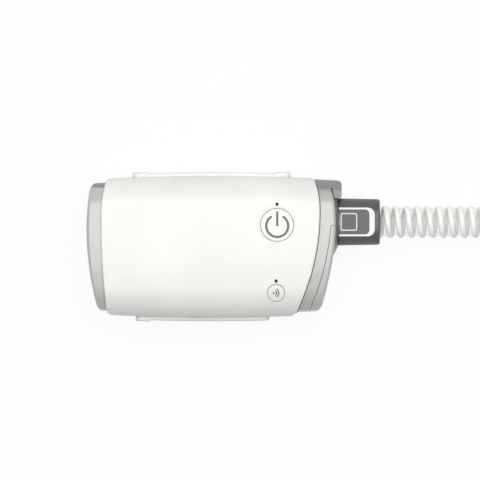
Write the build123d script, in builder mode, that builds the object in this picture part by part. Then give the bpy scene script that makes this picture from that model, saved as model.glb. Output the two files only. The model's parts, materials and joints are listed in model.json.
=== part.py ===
"""Travel CPAP machine with its air hose, as an assembly of separate pieces.

Millimetres, +Z up, the origin under the middle of the machine at table height. +X runs along the
machine towards the air outlet, +Y towards its rear side. The hose leaves along +X and lies coiled
beyond the machine.
"""

import math
import os

from build123d import *

os.makedirs("parts", exist_ok=True)

# --- case form -----------------------------------------------------------------------------------
form_reach = 75.0  # half length of the lofted form, longer than the machine
case_half_width = 38.3  # at mid length
case_narrowing = 2.5  # per side, at the ends of the form
case_bottom = 1.4
case_top = 52.0
case_top_fall = 1.6  # at the ends of the form
top_crown = 3.0
bottom_crown = 0.9
side_bulge = 1.5
top_corner = 16.0
bottom_corner = 11.0
seam_height = 26.0

# --- casings and end pieces, the curves in plan from the rear to the front ------------------------
sleeve_edge = case_half_width - 1.1  # the end curves stop near the sides, which narrow there
sleeve_left = [
    (-58.2, sleeve_edge),
    (-60.6, 25.0),
    (-61.0, 8.0),
    (-59.6, -20.0),
    (-57.8, -sleeve_edge),
]
sleeve_right = [
    (53.6, sleeve_edge + 0.3),
    (56.2, 27.0),
    (56.6, 14.0),
    (52.9, -11.5),
    (43.6, -sleeve_edge - 0.7),
]
cap_edge = case_half_width - 3.7
cap_left = [(-66.6, cap_edge), (-68.8, 12.5), (-66.7, -16.0), (-62.6, -cap_edge)]
cap_right = [(62.2, cap_edge + 0.3), (65.2, 18.0), (62.5, -13.0), (57.0, -cap_edge - 0.5)]
cover_seam = [(62.9, 16.0), (61.8, 4.3), (58.9, -11.3), (54.9, -24.4), (46.5, -44.0)]
case_wall = 1.8
part_gap = 0.3  # between neighbouring covers
face_gap = 0.1  # between the plug and the face that it stands against
cap_inset = case_wall + part_gap
cap_wall = 2.0
cap_tuck = 6.0  # depth of the end pieces inside the casings
case_corners = (3.0, 3.2, 0.8, 4.2)  # in plan: left rear, left front, right rear, right front
cap_corners = (6.2, 5.4, 4.2, 6.5)
split_corner = 2.0  # of the outlet cap, against the frame
cap_slack = 0.02  # keeps a cutting block just off the cap's own face
cover_corner = 3.2
cap_round = 1.6
rim_round = 0.7
frame_depth = 6.6  # from the case's rear side
rear_split = case_half_width - frame_depth  # the light covers end here, the grey frame lies behind
cover_rear = 11.2  # rear edge of the filter cover

# --- outlet frame ----------------------------------------------------------------------------------
outlet_y = 13.4
outlet_z = 26.0
boss_radius = 18.2
boss_back = 50.0
boss_face = 67.0
boss_round = 1.4
boss_flat = 12.4  # radius of its flat face
boss_fall = 2.7  # from there to its rim
socket_radius = 9.9
socket_depth = 9.4
duct_bore = 8.0
frame_end = 68.5
frame_inset = 0.5
frame_fit = 0.12  # from the casings
frame_start = 52.0
frame_lip = 64.0
frame_front = 26.25
frame_corner, frame_step_corner = 2.4, 0.8  # at its rear, and where it steps in to the boss
frame_low, frame_high = 7.0, 45.0
strut_low, strut_high, strut_thick = 14.0, 38.0, 2.2
strut_left = -53.0
frame_tuck = 3.0  # how far the frame's lug reaches behind the boss

# --- power inlet -----------------------------------------------------------------------------------
inlet_y, inlet_z = 0.0, 15.4
inlet_hole = 4.4
jack_bore = 3.3
jack_mouth, jack_face, jack_back = -68.0, -65.7, -53.0  # its round collar fills the cap's hole
jack_depth = 10.3
jack_width = 10.0
pin_radius = 0.9
pin_recess = 4.5  # the plug's barrel goes in this far
contact_bore = 2.9  # behind it, round the pin

# --- filter ------------------------------------------------------------------------------------------
filter_front, filter_rear = -30.0, -8.0
filter_low, filter_high = 14.0, 38.0
cover_wall = 1.7
slot_count = 6
slot_height = 1.8
slot_pitch = 3.7

# --- blower ------------------------------------------------------------------------------------------
blower_x, blower_y = -2.0, -4.6
volute_radius = 26.5
volute_wall = 1.8
volute_low, volute_high = 13.6, 38.4
eye_radius = 10.5
tube_wall = 1.8
duct_length = 10.0  # the rubber duct between the volute's spout and the outlet frame
duct_rib_count = 2
duct_rib_width, duct_rib_proud = 2.0, 1.0
impeller_radius = 21.0
blade_count = 12
blade_thick = 1.0
blade_low, blade_high = 20.0, 31.0
shaft_radius = 1.5
shaft_fit = 0.05
bearing_radius = 4.0
bearing_height = 2.4
motor_radius = 13.0
mount_inner, mount_outer = 17.0, 21.0
foam_left, foam_right, foam_front, foam_rear = -28.0, 18.0, -30.0, 22.0
foam_high = 44.0
foam_corner = 6.0
sensor_left, sensor_right, sensor_half, sensor_low = 27.0, 39.0, 5.0, 33.0
motor_height = 8.4

# --- boards -------------------------------------------------------------------------------------------
board_thick = 1.6
main_board_low = 8.0
main_board_left, main_board_right, main_board_half = -56.5, -31.5, 20.0
key_board_low = 40.6
key_board_left, key_board_right = 27.5, 43.5
key_board_front, key_board_rear = -28.5, 26.0

# --- keys and lamps -----------------------------------------------------------------------------------
key_gap = 0.25
key_lip = 1.2
lip_gap = 0.1  # under the casing's wall
switch_side = 6.0
switch_high = 44.4
plunger_radius = 1.6
plunger_high = 45.2
stem_gap = 0.9  # key travel and a margin
power_spot, power_radius, power_lip_low = (33.7, 11.7), 8.75, 47.8
wireless_spot, wireless_radius, wireless_lip_low = (33.2, -24.9), 4.5, 46.4
power_lamp_spot, wireless_lamp_spot = (33.7, 22.9), (33.2, -18.4)
lamp_radius = 0.75

# --- screws, feet and grip rails ----------------------------------------------------------------------
screw_spots = [(-44.0, 28.0), (-44.0, -28.0), (18.5, 28.0), (22.5, -29.5)]
post_radius = 3.3
screw_radius = 1.2
screw_clearance = 0.05
screw_head_radius = 2.4
screw_head_low, screw_head_high = 2.2, 3.6
screw_tip = 40.0
foot_spots = [(-42.0, 20.0), (-42.0, -20.0), (40.0, 20.0), (34.0, -20.0)]
foot_radius = 5.5
rail_proud = 1.9
rail_pad_proud = 2.6
rail_low, rail_high = 17.0, 35.0
rail_pad = 8.0
rear_rail = (-44.2, 41.1)
front_rail = (-42.5, 29.6)

# --- hose plug ----------------------------------------------------------------------------------------
plug_start = boss_face + face_gap
plug_end = 89.2
plug_width = 25.4
plug_end_width = 24.6
plug_corner = 9.4
plug_edge = 0.7
cuff_radius = 9.6
cuff_bore = 7.2
spigot_length = 7.8
slot_half, slot_end, slot_corner = 7.85, 86.5, 4.0
tab_half, tab_end = 6.35, 83.2
tab_low, tab_high = 11.0, 12.55  # above the plug's axis
tab_corner = 2.2
land_fit, land_gap = 0.1, 0.35  # from the slot, and from the tab
land_low, land_high = 5.4, 11.8  # above the plug's axis
ear_inner, ear_low = 4.7, 9.1
pivot_x, pivot_rise = 68.9, 10.0
pivot_radius, pivot_fit, pivot_reach = 0.55, 0.07, 8.6
grip_frame_x, grip_frame_length, grip_frame_width = 72.6, 9.2, 9.7
grip_frame_line, grip_frame_proud = 0.8, 0.25

# --- hose ---------------------------------------------------------------------------------------------
hose_radius = 8.75
coil_radius = 93.0
coil_x = 263.0
coil_y = 40.25 - hose_radius - coil_radius
hose_points = [
    (plug_end, outlet_y, outlet_z),
    (155.0, outlet_y, outlet_z),
    (205.0, coil_y + coil_radius, hose_radius),
    (coil_x, coil_y + coil_radius, hose_radius),
]
coil_joint = 204.0  # the straight part ends here and the coil's node begins
coil_layers = 3
top_start, top_end = 151.0, 197.0  # the top layer is open between these angles
mask_cuff_radius = 13.0
mask_bore, mask_bore_depth = 11.0, 24.0
mask_cuff_length = 32.0
tie_width, tie_thick = 16.0, 1.0
tie_lowest = 1.2  # the coil's own weight presses the rest of the strap flat


def half_width_at(x):
    """Half the case's width at the length x."""
    return case_half_width - case_narrowing * (x / form_reach) ** 2


def body_form(inset):
    """The barrel form of the case, drawn in by inset all round."""
    with BuildPart() as form:
        for x in (-form_reach, 0.0, form_reach):
            share = (x / form_reach) ** 2
            half = half_width_at(x) - inset
            top = case_top - case_top_fall * share - inset
            bottom = case_bottom + inset
            edge = half - side_bulge
            low, high = bottom + bottom_crown, top - top_crown
            with BuildSketch(Plane.YZ.offset(x)) as section:
                with BuildLine():
                    ThreePointArc((-edge, high), (0, top), (edge, high))
                    ThreePointArc((edge, high), (half, seam_height), (edge, low))
                    ThreePointArc((edge, low), (0, bottom), (-edge, low))
                    ThreePointArc((-edge, low), (-half, seam_height), (-edge, high))
                make_face()
                fillet(section.vertices().group_by(Axis.Y)[-1], top_corner - inset)
                fillet(section.vertices().sort_by(Axis.Y)[:2], bottom_corner - inset)
        loft()
    return form.part


def shifted(points, dx):
    """The same curve in plan, moved along X."""
    return [(x + dx, y) for x, y in points]


def plan_block(left, right, corners=()):
    """An upright block between two end curves, its corners rounded where radii are given."""
    with BuildPart() as block:
        with BuildSketch() as plan:
            with BuildLine():
                Spline(*left)
                Spline(*right)
                for row in (0, -1):
                    middle = math.copysign(case_half_width + part_gap, left[row][1])
                    ThreePointArc(left[row], (0, middle), right[row])
            make_face()
            for spot, radius in zip((left[0], left[-1], right[0], right[-1]), corners):
                fillet(plan.vertices().sort_by_distance((*spot, 0))[0], radius)
        extrude(amount=case_top + 2)
    return block.part


def rims(form):
    """The edges round the end faces of a form cut by a plan block."""
    ends = [face for face in form.faces() if face.geom_type in (GeomType.EXTRUSION, GeomType.CYLINDER)]
    found = ShapeList()
    for face in ends:
        for edge in face.edges():
            if edge.geom_type != GeomType.LINE and edge not in found:
                found.append(edge)
    return found


def plan_side(points, reach):
    """An upright block between a curve in plan and the line x = reach."""
    with BuildPart() as block:
        with BuildSketch():
            with BuildLine():
                Spline(*points)
                Polyline(points[0], (reach, points[0][1]), (reach, points[-1][1]), points[-1])
            make_face()
        extrude(amount=case_top + 2)
    return block.part


def corner_block(points, reach, rear, corner):
    """The block between a curve and x = reach, cut off at y = rear with a rounded corner there."""
    with BuildPart() as block:
        add(plan_side(points, reach))
        add(span(wide, (-far, rear), tall), mode=Mode.INTERSECT)
        uprights = [e for e in block.edges().filter_by(Axis.Z) if abs(e.center().Y - rear) < 0.01]
        fillet(max(uprights, key=lambda e: abs(e.center().X - reach)), corner)
    return block.part


def span(x, y, z):
    """A box from three (low, high) pairs."""
    with BuildPart() as block:
        with Locations(((x[0] + x[1]) / 2, (y[0] + y[1]) / 2, (z[0] + z[1]) / 2)):
            Box(x[1] - x[0], y[1] - y[0], z[1] - z[0])
    return block.part


def upright(spot, radius, low, high):
    """An upright cylinder between two heights."""
    with BuildPart() as rod:
        with Locations((*spot, low)):
            Cylinder(radius, high - low, align=(Align.CENTER, Align.CENTER, Align.MIN))
    return rod.part


def along_outlet(radius, start, end):
    """A cylinder along X on the outlet's axis."""
    with BuildPart() as rod:
        with BuildSketch(Plane.YZ.offset(start)):
            with Locations((outlet_y, outlet_z)):
                Circle(radius)
        extrude(amount=end - start)
    return rod.part


def keep(part, name):
    """Label a finished piece and write its file."""
    part.label = name
    export_step(part, f"parts/{name}.step")


outer_form = body_form(0)
wall_form = body_form(case_wall)
cap_form = body_form(cap_inset)
cap_hollow_form = body_form(cap_inset + cap_wall)
frame_form = body_form(frame_inset)
far = 2 * form_reach  # beyond every face of the case
wide, tall = (-far, far), (0, far)
casing_block = plan_block(sleeve_left, sleeve_right, case_corners)
cap_block = plan_block(cap_left, cap_right, cap_corners)
cap_inner_block = plan_block(shifted(cap_left, cap_wall), shifted(cap_right, -cap_wall))

# --- casings -----------------------------------------------------------------------------------------
with BuildPart() as sleeve:
    add(outer_form)
    add(casing_block, mode=Mode.INTERSECT)
    fillet(rims(sleeve), rim_round)

with BuildPart() as casing_posts:
    for spot in screw_spots:
        add(upright(spot, post_radius, 0, case_top))
    for x in (main_board_left + 6, main_board_right - 3):
        for y in (main_board_half - 3, 3 - main_board_half):
            add(upright((x, y), 2.0, 0, main_board_low))
    for x in (key_board_left + 2.5, key_board_right - 2.5):
        add(upright((x, -5), 1.8, key_board_low + board_thick, case_top))
    add(outer_form, mode=Mode.INTERSECT)

with BuildPart() as bottom_casing:
    add(sleeve.part)
    add(wall_form, mode=Mode.SUBTRACT)
    add(casing_posts.part)
    add(span(wide, wide, (seam_height, far)), mode=Mode.SUBTRACT)
    for spot in screw_spots:
        add(upright(spot, screw_radius + screw_clearance, 0, seam_height), mode=Mode.SUBTRACT)
        add(upright(spot, screw_head_radius + part_gap, 0, screw_head_high), mode=Mode.SUBTRACT)
keep(bottom_casing.part, "bottom_casing")

with BuildPart() as top_casing:
    add(sleeve.part)
    add(wall_form, mode=Mode.SUBTRACT)
    add(casing_posts.part)
    add(span(wide, wide, (0, seam_height)), mode=Mode.SUBTRACT)
    for spot in screw_spots:
        add(upright(spot, screw_radius + screw_clearance, 0, screw_tip + part_gap), mode=Mode.SUBTRACT)
    for spot, radius in ((power_spot, power_radius), (wireless_spot, wireless_radius)):
        add(upright(spot, radius + key_gap, seam_height, far), mode=Mode.SUBTRACT)
    for spot in (power_lamp_spot, wireless_lamp_spot):
        add(upright(spot, lamp_radius, seam_height, far), mode=Mode.SUBTRACT)
keep(top_casing.part, "top_casing")


with BuildPart() as casing_screws:
    for spot in screw_spots:
        add(upright(spot, screw_head_radius, screw_head_low, screw_head_high))
        add(upright(spot, screw_radius, screw_head_high, screw_tip))
keep(casing_screws.part, "casing_screws")

with BuildPart() as rubber_feet:
    for spot in foot_spots:
        add(upright(spot, foot_radius, 0, 4))
    fillet(rubber_feet.faces().group_by(Axis.Z)[0].edges(), 0.6)
    add(outer_form, mode=Mode.SUBTRACT)
keep(rubber_feet.part, "rubber_feet")

# --- grip rails along both sides ----------------------------------------------------------------------
rail_form = body_form(-rail_proud)
pad_form = body_form(-rail_pad_proud)


def grip_rail(ends, side, pads, name):
    """A soft rail on the rear (side 1) or front (side -1) flank, with a pad at each given end."""
    flank = (0, 50 * side) if side > 0 else (50 * side, 0)
    with BuildPart() as block:
        add(span(ends, flank, (rail_low, rail_high)))
        fillet(block.edges().filter_by(Axis.Y), 4.0)
    with BuildPart() as raised:
        for start in pads:
            add(span((start, start + rail_pad), flank, (rail_low, rail_high)))
        add(block.part, mode=Mode.INTERSECT)
        add(pad_form, mode=Mode.INTERSECT)
    with BuildPart() as rail:
        add(block.part)
        add(rail_form, mode=Mode.INTERSECT)
        add(raised.part)
        add(outer_form, mode=Mode.SUBTRACT)
    keep(rail.part, name)
    return rail.part


rear_grip_rail = grip_rail(rear_rail, 1, (rear_rail[0], rear_rail[1] - rail_pad), "rear_grip_rail")
front_grip_rail = grip_rail(front_rail, -1, (front_rail[0],), "front_grip_rail")

# --- end pieces ---------------------------------------------------------------------------------------
with BuildPart() as end_form:
    add(cap_form)
    add(cap_block, mode=Mode.INTERSECT)
    fillet(rims(end_form), cap_round)
    middle = (sleeve_left[-1][0] + cap_tuck + 1, sleeve_right[-1][0] - cap_tuck - 1)
    add(span(middle, wide, tall), mode=Mode.SUBTRACT)

with BuildPart() as end_hollow:
    add(cap_hollow_form)
    add(cap_inner_block, mode=Mode.INTERSECT)

left_tuck = plan_side(shifted(sleeve_left, cap_tuck), -far)
right_tuck = plan_side(shifted(sleeve_right, -cap_tuck), far)

with BuildPart() as left_end_cap:
    add(end_form.part)
    add(left_tuck, mode=Mode.INTERSECT)
    add(end_hollow.part, mode=Mode.SUBTRACT)
    add(span(wide, (rear_split, far), tall), mode=Mode.SUBTRACT)
    with BuildSketch(Plane.YZ.offset(-far)):
        with Locations((inlet_y, inlet_z)):
            Circle(inlet_hole)
    extrude(amount=far + jack_back, mode=Mode.SUBTRACT)
keep(left_end_cap.part, "left_end_cap")

with BuildPart() as rear_end_strip:
    add(end_form.part)
    add(left_tuck, mode=Mode.INTERSECT)
    add(span(wide, (rear_split + part_gap, far), tall), mode=Mode.INTERSECT)
keep(rear_end_strip.part, "rear_end_strip")

# --- outlet frame -------------------------------------------------------------------------------------
with BuildPart() as frame_block:
    with BuildSketch() as plan:
        with BuildLine():
            Polyline(
                (frame_start, half_width_at(frame_start) - frame_inset),
                (frame_end, half_width_at(frame_end) - frame_inset),
                (frame_end, frame_front),
                (frame_start, frame_front),
                close=True,
            )
        make_face()
        for corner, radius in ((-1, frame_corner), (0, frame_step_corner)):
            at_end = [v for v in plan.vertices() if v.X > frame_end - 0.01]
            fillet(sorted(at_end, key=lambda v: v.Y)[corner], radius)
    extrude(amount=case_top)
    add(span(wide, wide, (frame_low, frame_high)), mode=Mode.INTERSECT)
    add(plan_side(shifted(sleeve_right, frame_fit), far), mode=Mode.INTERSECT)
    add(frame_form, mode=Mode.INTERSECT)
    cap_side, cap_rear = shifted(cap_right, part_gap), rear_split + part_gap
    add(corner_block(cap_side, -far, cap_rear, split_corner + part_gap), mode=Mode.SUBTRACT)

with BuildPart() as frame_lug:
    add(span((boss_back - frame_tuck, frame_lip), (rear_split + part_gap, far), (frame_low, frame_high)))
    add(cap_form, mode=Mode.INTERSECT)

with BuildPart() as outlet_frame:
    with BuildSketch(Plane((0, outlet_y, outlet_z))) as boss_profile:
        with BuildLine():
            Polyline(
                (boss_back, 0),
                (boss_face, 0),
                (boss_face, boss_flat),
                (boss_face - boss_fall, boss_radius),
                (boss_back, boss_radius),
                close=True,
            )
        make_face()
        fillet(boss_profile.vertices().sort_by(lambda v: v.X + v.Y)[-1], boss_round)
    revolve(axis=Axis((0, outlet_y, outlet_z), (1, 0, 0)))
    add(frame_block.part)
    add(frame_lug.part)
    add(along_outlet(duct_bore, boss_back, boss_face), mode=Mode.SUBTRACT)
    add(along_outlet(socket_radius, boss_face - socket_depth, boss_face), mode=Mode.SUBTRACT)
keep(outlet_frame.part, "outlet_frame")

with BuildPart() as frame_strut:
    add(span((strut_left, boss_back - frame_tuck), (rear_split + part_gap, far), (strut_low, strut_high)))
    add(cap_form, mode=Mode.INTERSECT)
    add(span(wide, (rear_split + part_gap + strut_thick, far), tall), mode=Mode.SUBTRACT)
keep(frame_strut.part, "frame_strut")

# --- outlet end cap and filter ------------------------------------------------------------------------
cover_cut = corner_block(cover_seam, far, cover_rear + part_gap, cover_corner + part_gap)
filter_zone = span(wide, (filter_front, filter_rear), (filter_low, filter_high))

with BuildPart() as cap_room:
    add(end_hollow.part)
    with BuildPart(mode=Mode.PRIVATE) as behind_seam:
        add(plan_side(shifted(cover_seam, -cap_wall), far))
        add(span(wide, (-far, cover_rear + part_gap + cap_wall), tall), mode=Mode.INTERSECT)
    add(behind_seam.part, mode=Mode.SUBTRACT)

with BuildPart() as outlet_end_cap:
    add(end_form.part)
    add(right_tuck, mode=Mode.INTERSECT)
    add(cap_room.part, mode=Mode.SUBTRACT)
    add(cover_cut, mode=Mode.SUBTRACT)
    add(corner_block(shifted(cap_right, cap_slack), -far, rear_split, split_corner), mode=Mode.INTERSECT)
    add(along_outlet(boss_radius + part_gap, 0, far), mode=Mode.SUBTRACT)
    add(frame_block.part, mode=Mode.SUBTRACT)
    add(filter_zone, mode=Mode.SUBTRACT)
keep(outlet_end_cap.part, "outlet_end_cap")

with BuildPart() as cover_hollow:
    add(body_form(cap_inset + cover_wall))
    add(plan_block(shifted(cap_left, cover_wall), shifted(cap_right, -cover_wall)), mode=Mode.INTERSECT)
    add(span(wide, (-far, cover_rear - cover_wall), tall), mode=Mode.INTERSECT)

with BuildPart() as filter_cover:
    add(end_form.part)
    cover_side = shifted(cover_seam, part_gap)
    add(corner_block(cover_side, far, cover_rear, cover_corner), mode=Mode.INTERSECT)
    add(along_outlet(boss_radius + part_gap, 0, far), mode=Mode.SUBTRACT)
    add(cover_hollow.part, mode=Mode.SUBTRACT)
    for row in range(slot_count):
        middle = (filter_low + filter_high) / 2 + (row - (slot_count - 1) / 2) * slot_pitch
        slot = (middle - slot_height / 2, middle + slot_height / 2)
        add(span((0, far), (filter_front + 2, filter_rear - 2), slot), mode=Mode.SUBTRACT)
keep(filter_cover.part, "filter_cover")

with BuildPart() as air_filter:
    add(plan_side(shifted(cover_seam, -cap_wall), far))
    add(filter_zone, mode=Mode.INTERSECT)
    add(plan_side(shifted(cap_right, -cover_wall), far), mode=Mode.SUBTRACT)
keep(air_filter.part, "air_filter")

with BuildPart() as filter_grid:
    add(plan_side(shifted(cover_seam, -cap_wall - 1.2), far))
    add(plan_side(shifted(cover_seam, -cap_wall), far), mode=Mode.SUBTRACT)
    with BuildPart(mode=Mode.PRIVATE) as grid_zone:
        add(span(wide, (filter_front - 2, filter_rear + 2), (filter_low - 3, filter_high + 3)))
        for row in range(slot_count):
            middle = (filter_low + filter_high) / 2 + (row - (slot_count - 1) / 2) * slot_pitch
            slot = (middle - slot_height / 2, middle + slot_height / 2)
            add(span((0, far), (filter_front + 2, filter_rear - 2), slot), mode=Mode.SUBTRACT)
    add(grid_zone.part, mode=Mode.INTERSECT)
    add(cap_room.part, mode=Mode.INTERSECT)
keep(filter_grid.part, "filter_grid")

# --- power inlet --------------------------------------------------------------------------------------
inlet_low = main_board_low + board_thick
pin_start = jack_face + pin_recess
with BuildPart() as power_inlet:
    half = jack_width / 2
    add(span((jack_face, jack_back), (inlet_y - half, inlet_y + half), (inlet_low, inlet_z + half)))
    fillet(power_inlet.edges().filter_by(Axis.X).group_by(Axis.Z)[-1], 2.0)
    for radius, end, mode in (
        (inlet_hole - part_gap, jack_face, Mode.ADD),
        (jack_bore, pin_start, Mode.SUBTRACT),
        (contact_bore, jack_face + jack_depth, Mode.SUBTRACT),
    ):
        with BuildSketch(Plane.YZ.offset(jack_mouth)):
            with Locations((inlet_y, inlet_z)):
                Circle(radius)
        extrude(amount=end - jack_mouth, mode=mode)
keep(power_inlet.part, "power_inlet")

with BuildPart() as inlet_pin:
    with BuildSketch(Plane.YZ.offset(pin_start)):
        with Locations((inlet_y, inlet_z)):
            Circle(pin_radius)
    extrude(amount=jack_depth - pin_recess)
    chamfer(inlet_pin.faces().sort_by(Axis.X)[0].edges(), 0.3)
keep(inlet_pin.part, "inlet_pin")

# --- blower -------------------------------------------------------------------------------------------
blower = (blower_x, blower_y)
volute_spout = boss_back - duct_length
motor_low = volute_low - motor_height
with BuildPart() as volute_solid:
    add(upright(blower, volute_radius, volute_low, volute_high))
    add(along_outlet(duct_bore + tube_wall, blower_x, volute_spout))

with BuildPart() as volute_room:
    add(upright(blower, volute_radius - volute_wall, volute_low + volute_wall, volute_high - volute_wall))
    add(along_outlet(duct_bore, blower_x, volute_spout))

with BuildPart() as volute_lower:
    add(volute_solid.part)
    add(volute_room.part, mode=Mode.SUBTRACT)
    add(span(wide, wide, (outlet_z, far)), mode=Mode.SUBTRACT)
    add(upright(blower, shaft_radius + part_gap, 0, outlet_z), mode=Mode.SUBTRACT)
keep(volute_lower.part, "volute_lower")

with BuildPart() as volute_upper:
    add(volute_solid.part)
    add(volute_room.part, mode=Mode.SUBTRACT)
    add(span(wide, wide, (0, outlet_z)), mode=Mode.SUBTRACT)
    add(upright(blower, eye_radius, outlet_z, far), mode=Mode.SUBTRACT)
keep(volute_upper.part, "volute_upper")

with BuildPart() as impeller:
    add(upright(blower, impeller_radius, blade_low - 1.5, blade_low))
    add(upright(blower, shaft_radius + 3, blade_low, blade_high - 4))
    for index in range(blade_count):
        with Locations(Location((*blower, blade_low), (0, 0, index * 360 / blade_count))):
            with Locations(Location((13.0, 0, (blade_high - blade_low) / 2 - 0.1), (0, 0, 35))):
                Box(15.0, blade_thick, blade_high - blade_low)
    add(upright(blower, shaft_radius, 0, far), mode=Mode.SUBTRACT)
keep(impeller.part, "impeller")

with BuildPart() as motor_shaft:
    add(upright(blower, shaft_radius, motor_low + part_gap, blade_high - 4))
keep(motor_shaft.part, "motor_shaft")

bearing_seats = {
    "upper_bearing": volute_low - bearing_height,
    "lower_bearing": motor_low,
}
with BuildPart() as motor_body:
    add(upright(blower, motor_radius, motor_low, volute_low))
    fillet(motor_body.edges().group_by(Axis.Z)[0], 1.0)
    add(upright(blower, shaft_radius + part_gap, 0, far), mode=Mode.SUBTRACT)
    for low in bearing_seats.values():
        add(upright(blower, bearing_radius, low, low + bearing_height), mode=Mode.SUBTRACT)
keep(motor_body.part, "motor_body")

for name, low in bearing_seats.items():
    with BuildPart() as bearing:
        add(upright(blower, bearing_radius, low, low + bearing_height))
        add(upright(blower, shaft_radius + shaft_fit, 0, far), mode=Mode.SUBTRACT)
    keep(bearing.part, name)

with BuildPart() as blower_mount:
    add(upright(blower, mount_outer, 0, volute_low))
    add(upright(blower, mount_inner, 0, volute_low), mode=Mode.SUBTRACT)
    add(wall_form, mode=Mode.INTERSECT)
keep(blower_mount.part, "blower_mount")

with BuildPart() as inlet_foam:
    add(span((foam_left, foam_right), (foam_front, foam_rear), (volute_high, foam_high)))
    fillet(inlet_foam.edges().filter_by(Axis.Z), foam_corner)
    add(upright(blower, eye_radius, 0, far), mode=Mode.SUBTRACT)
keep(inlet_foam.part, "inlet_foam")

with BuildPart() as outlet_duct:
    add(along_outlet(duct_bore + tube_wall, volute_spout, boss_back))
    for index in range(duct_rib_count):
        middle = volute_spout + duct_length * (index + 0.5) / duct_rib_count
        rib = (middle - duct_rib_width / 2, middle + duct_rib_width / 2)
        add(along_outlet(duct_bore + tube_wall + duct_rib_proud, *rib))
    add(along_outlet(duct_bore, volute_spout, boss_back), mode=Mode.SUBTRACT)
keep(outlet_duct.part, "outlet_duct")

with BuildPart() as flow_sensor:
    add(
        span(
            (sensor_left, sensor_right),
            (outlet_y - sensor_half, outlet_y + sensor_half),
            (sensor_low, key_board_low),
        )
    )
    add(along_outlet(duct_bore + tube_wall, 0, far), mode=Mode.SUBTRACT)
keep(flow_sensor.part, "flow_sensor")

socket_end = boss_face - socket_depth
with BuildPart() as outlet_seal:
    add(along_outlet(socket_radius, socket_end, socket_end + 1.3))
    add(along_outlet(duct_bore, socket_end, socket_end + 1.3), mode=Mode.SUBTRACT)
keep(outlet_seal.part, "outlet_seal")

# --- boards -------------------------------------------------------------------------------------------
with BuildPart() as main_board:
    half = main_board_half
    add(span((main_board_left, main_board_right), (-half, half), (main_board_low, inlet_low)))
    fillet(main_board.edges().filter_by(Axis.Z), 1.5)
keep(main_board.part, "main_board")

with BuildPart() as board_chips:
    for x, y, side, high in ((-42, 9, 9, 1.4), (-43, -8, 7, 1.4), (-36, -14, 5, 2.2)):
        half = side / 2
        add(span((x - half, x + half), (y - half, y + half), (inlet_low, inlet_low + high)))
keep(board_chips.part, "board_chips")

with BuildPart() as board_capacitors:
    for y in (-15.0, 11.0, 16.5):
        add(upright((-51.5, y), 2.5, inlet_low, inlet_low + 11))
    fillet(board_capacitors.faces().group_by(Axis.Z)[-1].edges(), 0.4)
keep(board_capacitors.part, "board_capacitors")

key_board_high = key_board_low + board_thick
with BuildPart() as key_board:
    add(
        span(
            (key_board_left, key_board_right),
            (key_board_front, key_board_rear),
            (key_board_low, key_board_high),
        )
    )
    fillet(key_board.edges().filter_by(Axis.Z), 1.5)
keep(key_board.part, "key_board")

# --- keys, switches and lamps -------------------------------------------------------------------------
lip_form = body_form(case_wall + lip_gap)
keys = {
    "power": (power_spot, power_radius, power_lip_low),
    "wireless": (wireless_spot, wireless_radius, wireless_lip_low),
}
for name, (spot, radius, lip_low) in keys.items():
    with BuildPart() as key_top:
        add(upright(spot, radius, lip_low, far))
        add(outer_form, mode=Mode.INTERSECT)
        fillet(key_top.faces().sort_by(Axis.Z)[-1].edges(), 0.35)
    with BuildPart() as key_lip_ring:
        add(upright(spot, radius + key_lip, lip_low, far))
        add(lip_form, mode=Mode.INTERSECT)
    with BuildPart() as button:
        add(key_top.part)
        add(key_lip_ring.part)
        add(upright(spot, plunger_radius, plunger_high + stem_gap, lip_low + 1))
    keep(button.part, f"{name}_button")

    with BuildPart() as switch:
        half = switch_side / 2
        sides = [(middle - half, middle + half) for middle in spot]
        add(span(*sides, (key_board_high, switch_high)))
        add(upright(spot, plunger_radius, switch_high, plunger_high))
    keep(switch.part, f"{name}_switch")

for name, spot in (("power_lamp", power_lamp_spot), ("wireless_lamp", wireless_lamp_spot)):
    with BuildPart() as lamp:
        add(upright(spot, lamp_radius, key_board_high, far))
        add(outer_form, mode=Mode.INTERSECT)
    keep(lamp.part, name)

# --- hose plug ----------------------------------------------------------------------------------------
def plug_plan(start, end, half, corner):
    """A plan on the outlet's axis from start to end, with its far corners rounded."""
    with BuildSketch() as plan:
        with Locations(((start + end) / 2, outlet_y)):
            Rectangle(end - start, 2 * half)
        fillet(plan.vertices().group_by(Axis.X)[-1], corner)
    return plan.sketch


with BuildPart() as hose_plug_shell:
    for x, width in ((plug_start, plug_width), (plug_end, plug_end_width)):
        with BuildSketch(Plane.YZ.offset(x)):
            with Locations((outlet_y, outlet_z)):
                RectangleRounded(width, width, plug_corner)
    loft()
    chamfer(hose_plug_shell.faces().sort_by(Axis.X)[-1].edges(), plug_edge)
    add(along_outlet(cuff_radius, plug_start, plug_end), mode=Mode.SUBTRACT)
    with BuildSketch(Plane.XY.offset(outlet_z)):
        add(plug_plan(plug_start - 4, slot_end, slot_half, slot_corner))
    extrude(amount=plug_width, both=True, mode=Mode.SUBTRACT)
    for height in (outlet_z + pivot_rise, outlet_z - pivot_rise):
        with BuildSketch(Plane.XZ.offset(-outlet_y)):
            with Locations((pivot_x, height)):
                Circle(pivot_radius + pivot_fit)
        extrude(amount=pivot_reach + 0.1, both=True, mode=Mode.SUBTRACT)
keep(hose_plug_shell.part, "hose_plug_shell")

with BuildPart() as slot_land:  # the cuff's raised land fills the slot round the tab
    with BuildSketch(Plane.XY.offset(outlet_z + land_low)):
        add(plug_plan(plug_start, slot_end - land_fit, slot_half - land_fit, slot_corner - land_fit))
        add(
            plug_plan(plug_start - 1, tab_end + land_gap, tab_half + land_gap, tab_corner + land_gap),
            mode=Mode.SUBTRACT,
        )
    extrude(amount=land_high - land_low)
    pivot_top = outlet_z + pivot_rise + pivot_radius + land_gap
    add(span((plug_start, pivot_x + pivot_radius + 1), wide, (outlet_z, pivot_top)), mode=Mode.SUBTRACT)

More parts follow.
